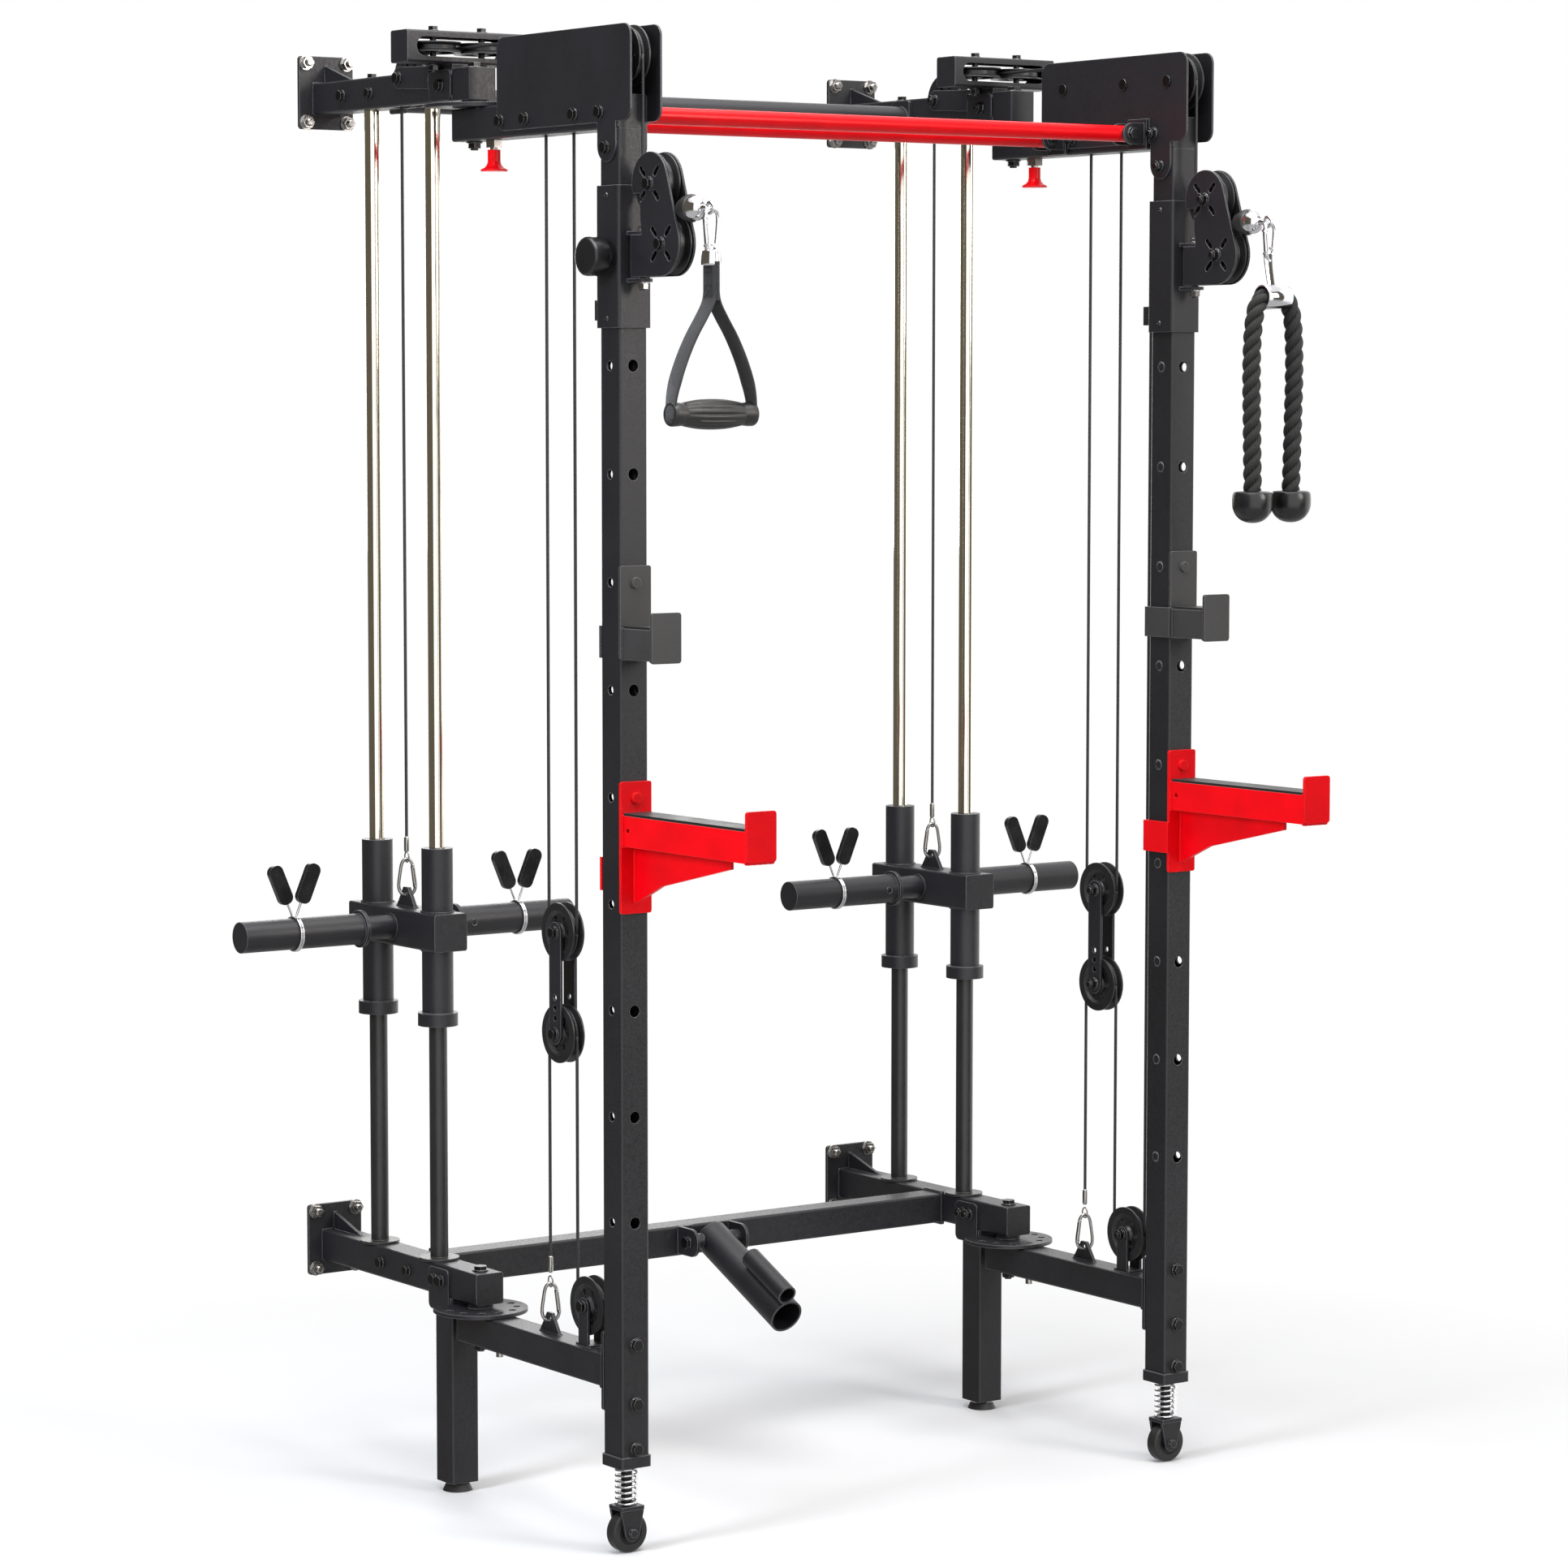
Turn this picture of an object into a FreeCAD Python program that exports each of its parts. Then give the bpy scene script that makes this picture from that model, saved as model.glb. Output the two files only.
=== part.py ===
import FreeCAD, Part
import math
import os
import re
import Sketcher

# Wall-mounted folding functional trainer. Frame: X runs along the wall, +Y points to the wall,
# +Z is up. Y = 0 is the centre line of the front uprights before the final shift that puts the
# origin under the middle of the whole machine. Only the left side is drawn; the right is its mirror.

Vector = FreeCAD.Vector
Rotation = FreeCAD.Rotation
Placement = FreeCAD.Placement

DOC = FreeCAD.newDocument("functional_trainer")

# ---------------------------------------------------------------- driving dimensions, millimetres
DIMENSIONS = {
    # steel sections
    "tube": 50, "tube_wall": 3, "tube_round": 4, "plate": 3, "gap": 0.3,
    # stations across and along the machine
    "side_x": 530, "shift_y": 262.35, "wall_y": 878, "pivot_y": 416, "leg_y": 488, "cross_y": 589,
    "rod_front_y": 540, "rod_rear_y": 726, "bar_front_y": 54, "bar_rear_y": 259.5,
    # heights of the tubes' centre lines
    "top_tube_z": 2221, "base_tube_z": 340, "top_arm_z": 2158, "low_arm_z": 275,
    # uprights
    "upright_low": 136.5, "hole_low": 505.7, "hole_pitch": 160, "hole_count": 10,
    "pin_hole_r": 9, "side_hole_r": 7,
    # wall plates
    "wall_plate_w": 100, "wall_plate_t": 6, "wall_plate_tall": 117.5,
    "anchor_dx": 38, "anchor_dz": 48, "anchor_r": 6,
    # arms
    "arm_front_y": -25, "top_arm_rear_y": 441.5, "low_arm_rear_y": 447.7, "end_plate_t": 6,
    "side_plate_front": -61, "side_plate_rear": 306, "side_plate_low": 2143, "side_plate_high": 2284,
    "index_r": 75, "index_hole_circle": 57, "index_t": 6,
    # pulleys and cable
    "pulley_r": 45, "groove_r": 36, "pulley_half": 10, "cable_r": 2.5, "wrap_r": 38.6,
    "pulley_bore": 5.1, "axle_r": 5, "wheel_z": 2239.5, "rear_wheel_y": 595,
    "box_y": 465, "box_half": 105, "box_wheel_dx": 44, "box_wheel_r": 43.5,
    "arm_wheel_rear": 249.2, "arm_wheel_mid": 94.8, "arm_wheel_front": -13.4,
    "block_y": 172, "block_top_z": 926.5, "block_low_z": 770.5, "base_wheel_z": 362,
    # guide rods and carriage
    "rod_r": 12.5, "stand_r": 14.5, "stand_top": 742, "flange_r": 32, "carriage_z": 893.5,
    "carriage_half": 134, "block_tube": 60, "sleeve_r": 25, "sleeve_bore": 12.8,
    "sleeve_top": 1026, "sleeve_low": 763, "collar_r": 32,
    "peg_r": 24.75, "peg_end": 306, "peg_flange_x": 85, "neck_r": 19.5, "clip_dx": 208,
    # trolley
    "trolley_z": 1945.7, "trolley_half": 104.5, "trolley_out": 30, "swivel_y": -52,
    "head_high_y": -90.6, "head_high_z": 2050, "head_low_y": -120, "head_low_z": 1962,
    "head_gap": 12, "knob_r": 29,
    # handles
    "hang_y": -230, "ball_y": -182, "ball_z": 2011.4, "ball_r": 20,
    "grip_z": 1715, "rope_dx": 43, "rope_r": 13.5, "rope_top": 1891, "rope_low": 1590,
    # rack arms
    "hook_z": 1465.7, "spot_z": 1145.7, "rack_t": 5, "rack_half": 27,
    # bars
    "bar_r": 13, "bar_pin_x": 471, "bar_end_x": 451.5, "cross_bar_z": 2213, "cross_bar_r": 21,
    # landmine
    "ear_x": 52, "mine_y": 533, "mine_z": 342, "mine_r": 29, "mine_bore": 26, "mine_tilt": 25,
    "mine_small_r": 16.5, "mine_small_bore": 13.5, "mine_small_turn": 105,
    # caster
    "caster_r": 31, "caster_half": 11, "fork_top": 72, "cap_low": 133, "stem_r": 8.5,
    "spring_r": 16, "wire_r": 1.9,
}

SHEET = DOC.addObject("Spreadsheet::Sheet", "Dim")
for row, (alias, size) in enumerate(DIMENSIONS.items(), start=1):
    SHEET.set(f"A{row}", alias)
    SHEET.set(f"B{row}", str(size))
    SHEET.setAlias(f"B{row}", alias)
DOC.recompute()

FUNCTIONS = {"sqrt", "sin", "cos", "tan", "deg", "mm"}
AXES = {
    "x": (Vector(1, 0, 0), Rotation(Vector(0, 1, 0), 90)),
    "y": (Vector(0, 1, 0), Rotation(Vector(1, 0, 0), -90)),
    "z": (Vector(0, 0, 1), Rotation()),
}
NODES = {}


# ---------------------------------------------------------------- helpers
def ref(formula):
    """A formula written in plain aliases, with each alias pointing at the sheet."""
    def point(match):
        word = match.group(0)
        return word if word in FUNCTIONS else "Dim." + word
    return re.sub(r"[a-z_][a-z_0-9]*", point, str(formula))


def number(formula):
    """The present value of a formula."""
    return float(SHEET.evalExpression(ref(formula)))


def bind(thing, prop, formula):
    thing.setExpression(prop, ref(formula))


def place(thing, x, y, z, rotation=None):
    """Put a thing at a point given by three formulas."""
    thing.Placement = Placement(Vector(), rotation or Rotation())
    for axis, formula in zip("xyz", (x, y, z)):
        bind(thing, f".Placement.Base.{axis}", formula)
    return thing


def box(name, centre, size):
    """A block given by its centre and its size along X, Y and Z."""
    block = DOC.addObject("Part::Box", name)
    for prop, formula in zip(("Length", "Width", "Height"), size):
        bind(block, prop, formula)
    corner = [f"({c}) - ({length})/2" for c, length in zip(centre, size)]
    return place(block, *corner)


def rod(name, centre, radius, length, axis):
    """A round bar given by its middle point, radius, length and axis letter."""
    bar = DOC.addObject("Part::Cylinder", name)
    bind(bar, "Radius", radius)
    bind(bar, "Height", length)
    start = list(centre)
    index = "xyz".index(axis)
    start[index] = f"({centre[index]}) - ({length})/2"
    return place(bar, *start, AXES[axis][1])


def ball(name, centre, radius):
    sphere = DOC.addObject("Part::Sphere", name)
    bind(sphere, "Radius", radius)
    return place(sphere, *centre)


def ring(name, centre, radius, wire, axis):
    torus = DOC.addObject("Part::Torus", name)
    bind(torus, "Radius1", radius)
    bind(torus, "Radius2", wire)
    return place(torus, *centre, AXES[axis][1])


def hexagon(name, centre, across, height, axis):
    """A hexagonal head or nut, centre at mid height."""
    prism = DOC.addObject("Part::Prism", name)
    prism.Polygon = 6
    bind(prism, "Circumradius", f"({across})/1.732")
    bind(prism, "Height", height)
    start = list(centre)
    index = "xyz".index(axis)
    start[index] = f"({centre[index]}) - ({height})/2"
    return place(prism, *start, AXES[axis][1])


def fuse(name, parts):
    joined = DOC.addObject("Part::MultiFuse", name)
    joined.Shapes = parts
    joined.Refine = True
    return joined


def cut(name, base, tools):
    """The base with every tool taken out of it."""
    if len(tools) > 1:
        tool = DOC.addObject("Part::Compound", name + "_tools")
        tool.Links = tools
    else:
        tool = tools[0]
    carved = DOC.addObject("Part::Cut", name)
    carved.Base = base
    carved.Tool = tool
    return carved


def group(name, parts):
    """Several separate solids in one sub-part."""
    together = DOC.addObject("Part::Compound", name)
    together.Links = parts
    return together


def copy_at(name, source, x, y, z, rotation=None):
    """The same piece again at another place."""
    again = DOC.addObject("Part::Compound", name)
    again.Links = [source]
    return place(again, x, y, z, rotation)


def mirror(name, source):
    """The right-hand twin of a left-hand piece."""
    twin = DOC.addObject("Part::Mirroring", name)
    twin.Source = source
    twin.Normal = Vector(1, 0, 0)
    return twin


def both(name, source):
    """A piece and its twin in one sub-part."""
    return group(name, [source, mirror(name + "_twin", source)])


def node(name, thing):
    """Register a finished sub-part under the name of its file, in the machine's final frame."""
    thing.Label = name + "_shape"
    placed = copy_at(name + "_node", thing, "0", "-shift_y", "0")
    placed.Label = name
    NODES[name] = placed


def side_nodes(name, thing):
    """Register a left sub-part and its mirrored right one."""
    node("left_" + name, thing)
    node("right_" + name, mirror("right_" + name, thing))


# ---------------------------------------------------------------- sketched solids
def new_sketch(name):
    body = DOC.addObject("PartDesign::Body", name)
    sketch = body.newObject("Sketcher::SketchObject", name + "_sketch")
    plane = next(f for f in body.Origin.OriginFeatures if f.Role == "XY_Plane")
    sketch.AttachmentSupport = [(plane, "")]
    sketch.MapMode = "FlatFace"
    return body, sketch


def line(sketch, start, end):
    segment = Part.LineSegment(Vector(*start, 0), Vector(*end, 0))
    return sketch.addGeometry(segment, False)


def rule(sketch, formula, *constraint):
    """Add a dimension to a sketch and bind it to a formula."""
    index = sketch.addConstraint(Sketcher.Constraint(*constraint, number(formula)))
    sketch.setExpression(f"Constraints[{index}]", ref(formula))


def rounded_rectangle(sketch, half_w, half_l, radius):
    """A rectangle about the origin with round corners."""
    w, l, r = number(half_w), number(half_l), number(radius)
    corners = [(w, l, 0), (-w, l, 90), (-w, -l, 180), (w, -l, 270)]
    arcs = []
    for x, y, turn in corners:
        centre = Vector(x - math.copysign(r, x), y - math.copysign(r, y), 0)
        circle = Part.Circle(centre, Vector(0, 0, 1), r)
        arc = Part.ArcOfCircle(circle, math.radians(turn), math.radians(turn + 90))
        arcs.append(sketch.addGeometry(arc, False))
    top = line(sketch, (w - r, l), (-w + r, l))
    left = line(sketch, (-w, l - r), (-w, -l + r))
    low = line(sketch, (-w + r, -l), (w - r, -l))
    right = line(sketch, (w, -l + r), (w, l - r))
    chain = [(arcs[0], top, arcs[1]), (arcs[1], left, arcs[2]),
             (arcs[2], low, arcs[3]), (arcs[3], right, arcs[0])]
    for before, edge, after in chain:
        sketch.addConstraint(Sketcher.Constraint("Tangent", before, 2, edge, 1))
        sketch.addConstraint(Sketcher.Constraint("Tangent", edge, 2, after, 1))
    for edge, kind in ((top, "Horizontal"), (left, "Vertical")):
        sketch.addConstraint(Sketcher.Constraint(kind, edge))
    for arc in arcs[1:]:
        sketch.addConstraint(Sketcher.Constraint("Equal", arcs[0], arc))
    rule(sketch, radius, "Radius", arcs[0])
    rule(sketch, half_l, "DistanceY", -1, 1, top, 1)
    rule(sketch, half_w, "DistanceX", left, 1, -1, 1)
    rule(sketch, f"2*({half_l})", "DistanceY", low, 1, top, 1)
    rule(sketch, f"2*({half_w})", "DistanceX", left, 1, right, 1)


def circle_at(sketch, x, y, radius):
    """A hole or disc in a sketch at a point given by formulas."""
    circle = Part.Circle(Vector(number(x), number(y), 0), Vector(0, 0, 1), number(radius))
    index = sketch.addGeometry(circle, False)
    rule(sketch, radius, "Radius", index)
    for kind, formula in (("DistanceX", x), ("DistanceY", y)):
        if abs(number(formula)) < 1e-6:
            axis = -2 if kind == "DistanceX" else -1
            sketch.addConstraint(Sketcher.Constraint("PointOnObject", index, 3, axis))
        elif number(formula) > 0:
            rule(sketch, formula, kind, -1, 1, index, 3)
        else:
            rule(sketch, f"-({formula})", kind, index, 3, -1, 1)


def outline(sketch, points):
    """A closed polygon whose corners are pairs of formulas."""
    spots = [(number(x), number(y)) for x, y in points]
    edges = [line(sketch, a, b) for a, b in zip(spots, spots[1:] + spots[:1])]
    for here, after in zip(edges, edges[1:] + edges[:1]):
        sketch.addConstraint(Sketcher.Constraint("Coincident", here, 2, after, 1))
    for edge, (x, y) in zip(edges, points):
        for kind, formula in (("DistanceX", x), ("DistanceY", y)):
            if abs(number(formula)) < 1e-6:
                axis = -2 if kind == "DistanceX" else -1
                sketch.addConstraint(Sketcher.Constraint("PointOnObject", edge, 1, axis))
            elif number(formula) > 0:
                rule(sketch, formula, kind, -1, 1, edge, 1)
            else:
                rule(sketch, f"-({formula})", kind, edge, 1, -1, 1)


def pad(body, sketch, length):
    """Thicken a sketch by the same amount to both sides of its plane."""
    solid = body.newObject("PartDesign::Pad", body.Name + "_pad")
    solid.Profile = sketch
    bind(solid, "Length", length)
    solid.Midplane = True
    sketch.Visibility = False
    return solid


# A sketch's own X, Y and normal point along these directions of the machine.
TURNS = {
    "x": Rotation(Vector(0, 1, 0), Vector(0, 0, 1), Vector(1, 0, 0), "ZXY"),
    "y": Rotation(Vector(-1, 0, 0), Vector(0, 0, 1), Vector(0, 1, 0), "ZXY"),
    "z": Rotation(),
}


def square_tube(name, centre, length, axis, size="tube", wall="tube_wall"):
    """A square hollow section with round edges, its length along an axis."""
    body, sketch = new_sketch(name)
    rounded_rectangle(sketch, f"{size}/2", f"{size}/2", "tube_round")
    rounded_rectangle(sketch, f"{size}/2 - {wall}", f"{size}/2 - {wall}", "tube_round - 2")
    pad(body, sketch, length)
    return place(body, *centre, TURNS[axis])


def round_plate(name, centre, half_w, half_l, radius, thick, axis, holes=()):
    """A flat plate with round corners and drilled holes; the axis is its normal."""
    body, sketch = new_sketch(name)
    rounded_rectangle(sketch, half_w, half_l, radius)
    for x, y, hole in holes:
        circle_at(sketch, x, y, hole)
    pad(body, sketch, thick)
    return place(body, *centre, TURNS[axis])


def cut_plate(name, centre, points, thick, axis, holes=()):
    """A flat plate with straight edges, given by its corner points."""
    body, sketch = new_sketch(name)
    outline(sketch, points)
    for x, y, hole in holes:
        circle_at(sketch, x, y, hole)
    pad(body, sketch, thick)
    return place(body, *centre, TURNS[axis])


def tube_of(name, centre, radius, bore, length, axis):
    """A round tube given by its middle point."""
    outer = rod(name + "_outer", centre, radius, length, axis)
    inner = rod(name + "_bore", centre, bore, f"({length}) + 2", axis)
    return cut(name, outer, [inner])


# ---------------------------------------------------------------- hardware
def bolt(name, head, direction, grip, shank="5", across="16", nut=True):
    """A hexagon bolt with washers: the head sits at a point and the shank runs along direction."""
    axis = direction[0]
    sign = 1 if direction[1] == "+" else -1
    index = "xyz".index(axis)

    def along(distance):
        point = list(head)
        point[index] = f"({head[index]}) + ({sign})*({distance})"
        return point

    tail = f"({grip}) + 13" if nut else grip
    parts = [
        rod(name + "_washer", along("-1"), f"({across})*0.66", "2", axis),
        hexagon(name + "_head", along("-5"), across, "6", axis),
        rod(name + "_shank", along(f"({tail})/2 - 0.5"), shank, f"({tail}) + 1", axis),
    ]
    pieces = [fuse(name + "_bolt", parts)]
    if nut:
        body = fuse(name + "_nut_blank", [
            rod(name + "_nut_washer", along(f"({grip}) + 1"), f"({across})*0.66", "2", axis),
            hexagon(name + "_nut_hex", along(f"({grip}) + 6"), across, "8", axis),
        ])
        bore = rod(name + "_nut_bore", along(f"({grip}) + 5"), f"({shank}) + 0.05", "14", axis)
        pieces.append(cut(name + "_nut", body, [bore]))
    return pieces


def drills(name, spots, radius, length, axis):
    """Cylinders that clear the shanks of fasteners at several points."""
    return [rod(f"{name}_{i}", spot, radius, length, axis) for i, spot in enumerate(spots)]


def pulley_master():
    """A grooved pulley about the X axis with a hub and six windows in its web."""
    body, sketch = new_sketch("pulley_master")
    profile = [
        ("-pulley_half", "pulley_bore"), ("-pulley_half", "12"), ("-6", "15"), ("-6", "groove_r - 7"),
        ("-pulley_half", "groove_r - 3"), ("-pulley_half", "pulley_r"), ("-pulley_half + 2.5", "pulley_r"),
        ("-3", "groove_r"), ("3", "groove_r"), ("pulley_half - 2.5", "pulley_r"),
        ("pulley_half", "pulley_r"), ("pulley_half", "groove_r - 3"), ("6", "groove_r - 7"), ("6", "15"),
        ("pulley_half", "12"), ("pulley_half", "pulley_bore"),
    ]
    outline(sketch, profile)
    turn = body.newObject("PartDesign::Revolution", "pulley_turn")
    turn.Profile = sketch
    turn.ReferenceAxis = (sketch, ["H_Axis"])
    turn.Angle = 360
    sketch.Visibility = False
    windows = []
    for step in range(6):
        hole = DOC.addObject("Part::Cylinder", f"pulley_window_{step}")
        hole.Radius = 5
        hole.Height = 30
        angle = math.radians(60 * step)
        spot = Vector(-15, 22 * math.cos(angle), 22 * math.sin(angle))
        hole.Placement = Placement(spot, AXES["x"][1])
        windows.append(hole)
    return cut("pulley_with_windows", body, windows)


PULLEY = pulley_master()


def pulley(name, y, z):
    return copy_at(name, PULLEY, "-side_x", y, z)


# ---------------------------------------------------------------- wall frame
def wall_plate(name, z):
    corners = [("anchor_dx", "anchor_dz"), ("-anchor_dx", "anchor_dz"),
               ("-anchor_dx", "-anchor_dz"), ("anchor_dx", "-anchor_dz")]
    holes = [(x, y, "anchor_r + gap") for x, y in corners]
    centre = ("-side_x", "wall_y - wall_plate_t/2", z)
    return round_plate(name, centre, "wall_plate_w/2", "wall_plate_tall/2", "6", "wall_plate_t", "y", holes)


def gusset(name, top_z):
    """A triangular rib on top of a wall tube, against the wall plate."""
    points = [("0", "0"), ("-92", "0"), ("0", "29")]
    centre = ("-side_x", "wall_y - wall_plate_t", top_z)
    return cut_plate(name, centre, points, "5", "x")


def top_wall_arms():
    """Wall plate, tube, gusset and pivot post of the top, both sides."""
    length = "wall_y - wall_plate_t - pivot_y - tube/2"
    middle = "(wall_y - wall_plate_t + pivot_y + tube/2)/2"
    tube = square_tube("top_tube", ("-side_x", middle, "top_tube_z"), length, "y")
    post = square_tube("top_post", ("-side_x", "pivot_y", "top_tube_z"), "tube", "z")
    bush = tube_of("top_bush", ("-side_x", "pivot_y", "top_tube_z"), "12", "6.2", "tube", "z")
    webs = [box(f"top_web_{i}", ("-side_x", "pivot_y", f"top_tube_z + {dz}"), ("46", "46", "4"))
            for i, dz in enumerate((-23, 23))]
    ears = [round_plate(f"top_ear_{i}", (f"-side_x + {sx}*(tube/2 + 1.5)", "473", "top_tube_z"),
                        "32", "tube/2 - 1", "10", "plate", "x") for i, sx in enumerate((-1, 1))]
    plate = wall_plate("top_wall_plate", "top_tube_z + 10")
    rib = gusset("top_gusset", "top_tube_z + tube/2")
    steel = fuse("top_wall_steel", [tube, post, bush, plate, rib] + webs + ears)
    slot = round_plate("top_slot", ("-side_x", "rear_wheel_y + 1", "top_tube_z"),
                       "13", "49", "6", "tube + 10", "z")
    bores = drills("top_bolt_bore", [("-side_x", y, "top_tube_z") for y in ("470", "690", "777")],
                   "5 + gap", "70", "x")
    bores += drills("top_rod_bore", [("-side_x", y, "top_tube_z") for y in ("rod_front_y", "rod_rear_y")],
                    "5 + gap", "tube + 10", "z")
    bores.append(rod("top_axle_bore", ("-side_x", "rear_wheel_y", "wheel_z"), "axle_r + gap", "70", "x"))
    bores.append(rod("top_pivot_bore", ("-side_x", "pivot_y", "top_tube_z"), "6.2", "tube + 10", "z"))
    arm = cut("left_top_wall_arm", steel, [slot] + bores)
    disc = index_plate("top_index", "top_arm_z", "top_tube_z")
    return both("top_wall_set", group("left_top_wall_set", [arm] + disc))


def base_wall_arms():
    """Wall plate, tube and gusset of the base, both sides."""
    length = "wall_y - wall_plate_t - 388"
    middle = "(wall_y - wall_plate_t + 388)/2"
    tube = square_tube("base_tube", ("-side_x", middle, "base_tube_z"), length, "y")
    bush = tube_of("base_bush", ("-side_x", "pivot_y", "base_tube_z"), "12", "6.2", "tube", "z")
    nose = box("base_nose", ("-side_x", "390", "base_tube_z"), ("46", "4", "46"))
    plate = wall_plate("base_wall_plate", "base_tube_z + 10")
    rib = gusset("base_gusset", "base_tube_z + tube/2")
    steel = fuse("base_wall_steel", [tube, bush, nose, plate, rib])
    bores = drills("base_bolt_bore", [("-side_x", y, "base_tube_z") for y in ("488", "508", "596", "680")],
                   "5 + gap", "70", "x")
    bores.append(rod("base_pivot_bore", ("-side_x", "pivot_y", "base_tube_z"), "6.2", "tube + 10", "z"))
    arm = cut("left_base_wall_arm", steel, bores)
    disc = index_plate("base_index", "low_arm_z", "base_tube_z")
    return both("base_wall_set", group("left_base_wall_set", [arm] + disc))


def rear_legs():
    """Legs under the base tubes, with the side brackets that bolt to the tubes."""
    top = "base_tube_z - tube/2"
    leg = square_tube("leg_tube", ("-side_x", "leg_y", f"(15 + {top})/2"), f"{top} - 15", "z")
    cap = box("leg_cap", ("-side_x", "leg_y", "19"), ("44.2", "44.2", "8"))
    sides = []
    for i, sx in enumerate((-1, 1)):
        centre = (f"-side_x + {sx}*(tube/2 + 1.75)", "497", "326")
        holes = [("-9", "14", "5 + gap"), ("11", "14", "5 + gap")]
        sides.append(round_plate(f"leg_bracket_{i}", centre, "30", "34", "10", "3.5", "x", holes))
    steel = fuse("leg_steel", [leg, cap] + sides)
    stud = rod("leg_stud_bore", ("-side_x", "leg_y", "20"), "5 + gap", "40", "z")
    return both("rear_legs", cut("left_leg", steel, [stud]))


def levelling_feet():
    """Screw feet under the legs."""
    pad_cone = DOC.addObject("Part::Cone", "foot_cone")
    bind(pad_cone, "Radius1", "24")
    bind(pad_cone, "Radius2", "19")
    bind(pad_cone, "Height", "11")
    place(pad_cone, "-side_x", "leg_y", "0")
    stud = rod("foot_stud", ("-side_x", "leg_y", "25"), "5", "30", "z")
    nut = hexagon("foot_nut", ("-side_x", "leg_y", "12.9"), "17", "4", "z")
    return both("levelling_feet", fuse("left_foot", [pad_cone, stud, nut]))


def base_crossmember():
    """Tube between the two base tubes, with end plates and the landmine's two ears."""
    inner = "side_x - tube/2"
    tube = square_tube("cross_tube", ("0", "cross_y", "base_tube_z"), f"2*({inner} - 5)", "x")
    ends = [round_plate(f"cross_end_{i}", (f"{sx}*({inner} - 2.5)", "cross_y", "base_tube_z"),
                        "25.5", "29", "3", "5", "x", [("7", "0", "5 + gap")]) for i, sx in enumerate((-1, 1))]
    ears = []
    for i, sx in enumerate((-1, 1)):
        slab = box(f"ear_slab_{i}", (f"{sx}*(ear_x - 2.5)", "(mine_y + cross_y - tube/2)/2", "mine_z"),
                   ("5", "cross_y - tube/2 - mine_y", "46"))
        nose = round_plate(f"ear_nose_{i}", (f"{sx}*(ear_x - 2.5)", "mine_y - 3", "mine_z"),
                           "24", "23", "20", "5", "x")
        foot = box(f"ear_foot_{i}", (f"{sx}*(ear_x - 14)", "cross_y - tube/2 - 2", "mine_z"),
                   ("28", "4", "46"))
        ears += [slab, nose, foot]
    steel = fuse("cross_steel", [tube] + ends + ears)
    pivot = rod("ear_bore", ("0", "mine_y", "mine_z"), "6 + gap", "2*ear_x + 20", "x")
    return cut("base_crossmember", steel, [pivot])


def rear_crossbar():
    """Round tube between the two top wall tubes, with bolted end plates."""
    inner = "side_x - tube/2"
    bar = tube_of("rear_bar", ("0", "690", "cross_bar_z"), "cross_bar_r", "cross_bar_r - 2.5",
                  f"2*({inner} - 5)", "x")
    ends = [round_plate(f"rear_bar_end_{i}", (f"{sx}*({inner} - 2.5)", "690", "top_tube_z - 4"),
                        "24", "27", "6", "5", "x", [("0", "4", "5 + gap")]) for i, sx in enumerate((-1, 1))]
    steel = fuse("rear_bar_steel", [bar] + ends)
    bores = [rod(f"rear_bar_bolt_bore_{i}", (f"{sx}*({inner} - 12)", "690", "top_tube_z"), "10.6", "14", "x")
             for i, sx in enumerate((-1, 1))]
    return cut("rear_crossbar", steel, bores)


def guide_rods():
    """The two chrome rods of each carriage, from the base tube to the top tube."""
    low, high = "base_tube_z + tube/2", "top_tube_z - tube/2"
    rods = [rod(f"guide_rod_{i}", ("-side_x", y, f"({low} + {high})/2"), "rod_r", f"{high} - ({low})", "z")
            for i, y in enumerate(("rod_front_y", "rod_rear_y"))]
    return both("guide_rods", group("left_guide_rods", rods))


def rod_stand_tubes():
    """Tubes round the lower rods: the carriage rests on them. A flange spreads each foot."""
    low = "base_tube_z + tube/2"
    tubes = []
    for i, y in enumerate(("rod_front_y", "rod_rear_y")):
        centre = ("-side_x", y, f"({low} + stand_top)/2")
        sleeve = rod(f"stand_outer_{i}", centre, "stand_r", f"stand_top - ({low})", "z")
        flange = rod(f"stand_flange_{i}", ("-side_x", y, f"{low} + 2"), "flange_r", "4", "z")
        bore = rod(f"stand_bore_{i}", centre, "rod_r + 0.05", f"stand_top - ({low}) + 4", "z")
        tubes.append(cut(f"stand_tube_{i}", fuse(f"stand_blank_{i}", [sleeve, flange]), [bore]))
    return both("rod_stand_tubes", group("left_stand_tubes", tubes))


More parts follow.
